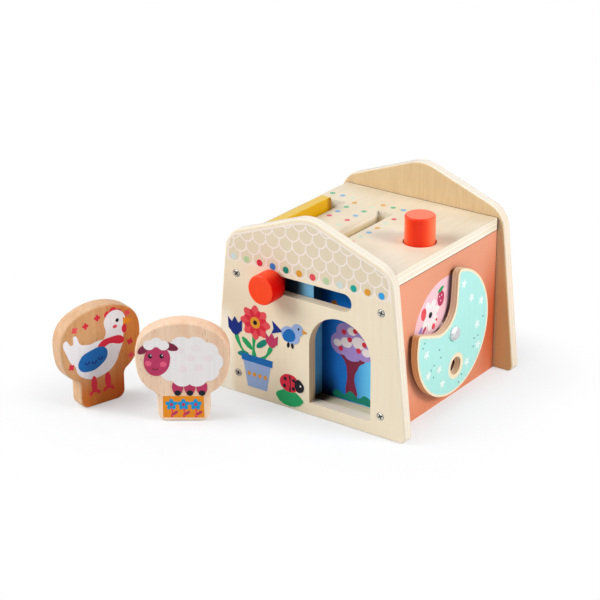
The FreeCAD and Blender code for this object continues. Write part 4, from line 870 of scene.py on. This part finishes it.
def beech(name, pale, deep, grain=Z, seed=0.0):
    """Bare solid wood: soft streaks and the short dark flecks of beech."""
    finish = new_finish(name)
    streaks = fibres(finish, grain, scale=300, stretch=0.045, detail=5.0, seed=seed)
    broad = fibres(finish, grain, scale=50, stretch=0.10, detail=2.0, seed=seed)
    figure = reckon(finish, "MULTIPLY_ADD", broad, 0.5, product(finish, streaks, 0.5))
    flecks = fibres(finish, grain, scale=1100, stretch=0.16, detail=1.0, seed=seed)
    flecks = ramp(finish, flecks, (0.66, NO_MARK), (0.74, (0.75, 0.75, 0.75, 1)))
    fleck_brown = [part * 0.55 for part in deep[:3]] + [1.0]
    colour = ramp(finish, figure, (0.36, deep), (0.60, pale))
    feed(finish, "Base Color", blend(finish, flecks, colour, fleck_brown))
    feed(finish, "Specular IOR Level", 0.25)
    roughen(finish, streaks, strength=0.16, low=0.38, high=0.52)
    return finish


LIFTER_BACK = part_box("left_lifter")[1].y
yellow = painted("yellow_paint", tint(224, 184, 8), shade=0.95)
dress(yellow, "left_lifter", "right_lifter")
# The top is painted paler, as painted light; the right face is painted deeper and darkest at its far end, as
# painted shade.
right_face = rise(yellow, towards(yellow, RIGHTWARDS), 0.5, 0.9)
print_and_light(yellow, tint(226, 192, 104), rise(yellow, turned(yellow, Z), 0.6, 0.95), 0.6)
stain_and_shade(yellow, (0.92, 0.78, 0.25), right_face)
stain_and_shade(yellow, (0.55, 0.42, 0.4), right_face,
      rise(yellow, places(yellow)[1], LIFTER_BACK - 7 * MM, LIFTER_BACK - 2 * MM))
BEECH, DEEP_BEECH = tint(226, 190, 144), tint(206, 164, 114)
for name, grain, seed, nodes in (("beech_rods", X, 0, ("guide_dowels", "guide_spacers")),
                                 ("beech_rocker", X, 2, ("rocker_arm",)),
                                 ("beech_axle", Y, 4, ("rocker_axle", "button_crossbar"))):
    dress(beech(name, BEECH, DEEP_BEECH, grain, seed), *nodes)

# Squeaker: a soft bellows between the button's bar and its shelf, with a
# whistle plug in its foot.  It is blown in one piece, with four folds.
FOLDS = 4
WAIST = 8.0 * MM
low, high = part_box("squeaker_bellows")
RIM = (high.x - low.x) / 2
FOLD_RISE = (high.z - low.z) / (2 * FOLDS)
foot = ((low.x + high.x) / 2, (low.y + high.y) / 2, low.z)
bpy.ops.object.select_all(action="DESELECT")
bpy.ops.mesh.primitive_circle_add(vertices=48, radius=WAIST, fill_type="NGON", location=foot)
bellows = bpy.context.object
bellows.name = "bellows_skin"
bpy.ops.object.mode_set(mode="EDIT")
bpy.ops.mesh.select_all(action="SELECT")
for fold in range(2 * FOLDS):
    size = RIM / WAIST if fold % 2 == 0 else WAIST / RIM
    bpy.ops.mesh.extrude_region_move(TRANSFORM_OT_translate={"value": (0, 0, FOLD_RISE)})
    bpy.ops.transform.resize(value=(size, size, 1), center_override=foot)
bpy.ops.object.mode_set(mode="OBJECT")
mend(outwards=True)
soften = bellows.modifiers.new("soft_folds", "BEVEL")
soften.width = 0.9 * MM
soften.segments = 3
soften.angle_limit = radians(25)
bpy.ops.object.modifier_apply(modifier=soften.name)
settle()
bpy.ops.object.shade_smooth_by_angle(angle=radians(60))
rubber = mottled("pale_rubber", tint(205, 200, 190), tint(226, 223, 215), scale=300, relief=0.2,
                 low=0.55, high=0.7)
bellows.data.materials.append(rubber)
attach(bellows, "house")
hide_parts("squeaker_bellows")
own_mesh(bellows)
plastic = mottled("white_plastic", tint(226, 226, 222), tint(238, 238, 235), scale=900, relief=0.08,
                  low=0.35, high=0.45)
dress(plastic, "squeaker_reed")

# Turning disc: brown-edged plywood.  Its mint print stops short of every edge
# and leaves a bare ring round the finger hole; blossoms and seeds lie on it.
# Its outline is drawn in millimetres from the pivot, and then leaned and moved.
BARE_RIM = 2.0
RADIUS = 49.5
SIDE, FLOOR_LEVEL, RISE = 1.8, -1.6, radians(14.2)
CORNER, TIP, TOE = 20.4, 5.0, 2.5
PIVOT, PIVOT_BARE = (0, 0), 3.2
FINGER_HOLE, FINGER_BARE = (6.4, -28.0), 10.4
CENTRE = (-2.3, 58.4)
LEAN = radians(-4.3)
WALL_GAP_SHADOW = 0.6 * MM
DISC_BACK, DISC = [corner.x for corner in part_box("picture_disc")]
disc_ply = plywood("picture_disc", Z, X, tint(246, 230, 198), tint(236, 214, 176), seed=13)
dress(disc_ply, "picture_disc")
across, _, height = places(disc_ply)
on_edge = cut_face(disc_ply, X, 0.6)
flat = reckon_points(disc_ply, "MULTIPLY", point(disc_ply), (0, 1, 1))
reach = reckon_points(disc_ply, "DISTANCE", flat, (0, CENTRE[0] * MM, CENTRE[1] * MM))
stain_and_shade(disc_ply, (0.98, 0.90, 0.79), on_edge)
stain_and_shade(disc_ply, (0.88, 0.69, 0.51), on_edge, rise(disc_ply, reach, 45 * MM, 48 * MM),
      rise(disc_ply, height, 94 * MM, 76 * MM))
# A thin band of the edge against the wall is painted near black, as painted shadow in the gap.
stain_and_shade(disc_ply, (0.14, 0.07, 0.05), reckon(disc_ply, "LESS_THAN", across, DISC_BACK + WALL_GAP_SHADOW))


def swing(centre, radius, start, end):
    """Points of an arc, one every few degrees."""
    steps = max(int(abs(end - start) / radians(4)), 4)
    turns = [start + (end - start) * step / steps for step in range(steps + 1)]
    return [(centre[0] + radius * cos(turn), centre[1] + radius * sin(turn)) for turn in turns]


def leaned(points):
    """Turns points with the disc and moves them to its place on the wall."""
    across, up = CENTRE
    return [(across + x * cos(LEAN) - y * sin(LEAN), up + x * sin(LEAN) + y * cos(LEAN)) for x, y in points]


along, inward = Vector((-cos(RISE), sin(RISE))), Vector((-sin(RISE), -cos(RISE)))
inner = (SIDE - CORNER, FLOOR_LEVEL + CORNER * (1 + sin(RISE)) / cos(RISE))
tip = (SIDE + TIP, sqrt((RADIUS - TIP) ** 2 - (SIDE + TIP) ** 2))
start = Vector((SIDE, FLOOR_LEVEL)) + inward * TOE
reach = -start.dot(along) + sqrt(start.dot(along) ** 2 + (RADIUS - TOE) ** 2 - start.length_squared)
toe = start + along * reach
rim_start, rim_end = atan2(tip[1], tip[0]), atan2(toe.y, toe.x) - 2 * pi
outline = swing(inner, CORNER + BARE_RIM, -UPRIGHT - RISE, 0) + swing(tip, TIP - BARE_RIM, pi, rim_start)
outline += swing(PIVOT, RADIUS - BARE_RIM, rim_start, rim_end)
outline += swing(toe, TOE - BARE_RIM, rim_end, UPRIGHT - RISE - 2 * pi)
holes = [swing(PIVOT, PIVOT_BARE, 0, 1.95 * pi), swing(FINGER_HOLE, FINGER_BARE, 0, 1.97 * pi)]
shape(leaned(outline), ink(174, 229, 220), corners=True, holes=[leaned(hole) for hole in holes])
SEED, PETAL = ink(116, 170, 164), ink(228, 240, 236)
for spot, (y, z) in enumerate((
        (10.6, 93.8), (21.9, 78.8), (36.3, 71.9), (31.3, 53.8), (33.1, 36.0),
        (17.5, 27.5), (-16.9, 22.3), (-21.9, 36.0), (-37.1, 36.5), (-40.0, 54.4))):
    blossom(y, z, 5, 1.9, 0.95, PETAL, 37 * spot)
for y, z in ((-42.5, 64.8), (-44.8, 61.6), (-21.9, 52.1), (-19.8, 45.0), (-28.8, 41.9), (-32.8, 39.4),
             (-29.6, 32.5), (39.4, 57.4), (32.5, 44.0), (27.3, 43.5), (26.5, 36.9), (10.3, 19.8),
             (6.3, 15.0)):
    oval(y, z, 0.65, 0.65, SEED)
lay_print("disc_print", "disc", (DISC, 0, 0), (UPRIGHT, 0, UPRIGHT))
dress(steel("polished_dome", (250, 250, 252), low=0.20, high=0.30, metallic=0.7), "pivot_bolt")

# Loose sheep: a plain beech board with rounded edges that stands on its foot,
# printed on its front with a sheep above a flower bed.
SHEEP_PLACE, SHEEP_TURN = (-68.3 * MM, -143.0 * MM, 0), radians(35.4)
CHEEK = ink(226, 92, 124)
sheep_beech = beech("sheep_beech", tint(239, 207, 178), tint(229, 188, 154), Z, 6)
dress(sheep_beech, "sheep_figure")
# The foot is painted paler, as painted light against the floor's shade.
print_and_light(sheep_beech, tint(255, 232, 206), rise(sheep_beech, places(sheep_beech)[2], 26 * MM, 6 * MM), 0.5)
# Flower bed.
shape([(-15.4, 3.2), (15.4, 3.2), (15.2, 21), (-15.2, 21)], ORANGE, corners=True)
for x in (-9, 0, 9):
    stroke([(x, 3.4), (x + 0.6, 8), (x, 12)], 1.0, CORAL)
    blossom(x, 14, 5, 2.4, 1.6, CYAN, 90)
    oval(x, 14, 1.3, 1.3, CRIMSON)
    oval(x + 2.6, 7, 2.6, 1.1, CRIMSON, turn=35)
# Legs, fleece and curls.
for x in (-4, 5, 14):
    stroke([(x, 34), (x, 22.4)], 3.6, CRIMSON)
    stroke([(x, 25), (x, 22.0)], 3.8, INK_BLACK)
for step in range(10):
    angle = 2 * pi * step / 10
    oval(5 + 17 * cos(angle), 49 + 12.5 * sin(angle), 8.2, 8.2, WOOL)
oval(5, 49, 18, 14, WOOL)
for x, y in ((-2, 58), (10, 60), (19, 52), (12, 44), (0, 43), (6, 52)):
    oval(x, y, 3.4, 2.7, PALE_PINK)
# Ears, head, fringe, eyes, cheeks and mouth.
oval(-9.5, 61.5, 7.2, 3.0, PLUM, turn=-20)
oval(-27.5, 59.3, 6.0, 2.8, PLUM, turn=38)
oval(-18.5, 50, 9.6, 12.6, CRIMSON, turn=-12)
for x, y in ((-24, 62.4), (-18.6, 64.6), (-13.4, 62.2)):
    oval(x, y, 4.2, 3.8, WOOL)
for x in (-23.4, -15.0):
    oval(x, 53.6, 1.5, 1.9, INK_BLACK)
    oval(x + 0.5, 54.3, 0.5, 0.5, PALE_PINK)
oval(-25, 47.6, 2.5, 2.2, CHEEK)
oval(-14, 47.0, 2.5, 2.2, CHEEK)
stroke([(-22, 43.6), (-20, 42.6), (-18, 43.6)], 0.7, PLUM)
lay_print("sheep_print", "sheep", SHEEP_PLACE, (UPRIGHT, 0, SHEEP_TURN))

# Loose hen: a second beech board of the same thickness, sawn from darker wood,
# printed on its front with a hen among small flowers.
HEN_PLACE, HEN_TURN = (-136.8 * MM, -154.6 * MM, 0), radians(73.0)
SNOW = ink(233, 230, 233)
hen_beech = beech("hen_beech", tint(220, 182, 146), tint(206, 158, 114), Z, 8)
dress(hen_beech, "chicken_figure")
# The front is painted darker than the edge, as painted shade, most of all to the right and at the foot.
apart = reckon_points(hen_beech, "SUBTRACT", point(hen_beech), HEN_PLACE)
along = reckon_points(hen_beech, "DOT_PRODUCT", apart, (cos(HEN_TURN), sin(HEN_TURN), 0))
front = rise(hen_beech, towards(hen_beech, (sin(HEN_TURN), -cos(HEN_TURN), 0)), 0.6, 0.9)
stain_and_shade(hen_beech, (0.92, 0.78, 0.60), front)
stain_and_shade(hen_beech, (1.0, 0.60, 0.23), front, rise(hen_beech, along, -8 * MM, 30 * MM))
stain_and_shade(hen_beech, (0.95, 0.47, 0.10), front, rise(hen_beech, places(hen_beech)[2], 34 * MM, 8 * MM))
# Tail, body, comb, neck and head.
shape([(-10, 33), (-22, 36), (-30, 48), (-31, 60), (-25, 55), (-23, 62), (-18, 54), (-12, 52), (0, 50)], SNOW)
oval(-4, 38, 19, 14.5, SNOW, turn=12)
for x, y, reach in ((6.4, 71.6, 2.9), (11.2, 73.6, 3.1), (16.0, 71.4, 2.8)):
    oval(x, y, reach, reach, RED)
shape([(-4, 44), (4, 56), (3.4, 68), (12, 74), (21, 68), (20, 56), (16, 40), (6, 30)], SNOW)
# Beak, wattle, eye and cheek.
shape([(19.6, 66.4), (27.6, 62.4), (19.6, 60)], ORANGE, corners=True)
oval(20.4, 57, 2.2, 3.6, RED)
oval(14.6, 65.2, 1.5, 1.5, INK_BLACK)
oval(12.4, 60.6, 2.0, 1.4, CORAL)
# Scarf, wing and its feathers, legs, and the flowers round the hen.
shape([(-2, 50), (8, 53), (19.4, 50), (19, 46.4), (7, 48), (-3, 45.4)], RED)
shape([(3, 46), (-10, 46.6), (-19, 42), (-20, 34), (-10, 30), (0, 33.6), (4.6, 39)], ROYAL)
for x, y in ((-13, 37.4), (-7, 36.6), (-1.4, 38.4)):
    stroke([(x - 2, y + 1), (x, y - 1.2), (x + 2, y + 1)], 0.8, NAVY)
for x in (-8, 4):
    stroke([(x, 25), (x + 0.4, 12)], 1.7, RED)
    stroke([(x - 4, 10.4), (x + 0.4, 13), (x + 5, 10.4)], 1.6, RED)
for spot, (x, y) in enumerate(((-13, 67.5), (-22.5, 66.5), (25, 45), (25.4, 33.5), (-26.6, 37.5), (23.6, 69),
                               (-2.6, 71.5))):
    blossom(x, y, 4, 1.4, 1.0, CORAL if spot % 2 else RED, 30 * spot)
lay_print("hen_print", "chicken", HEN_PLACE, (UPRIGHT, 0, HEN_TURN))
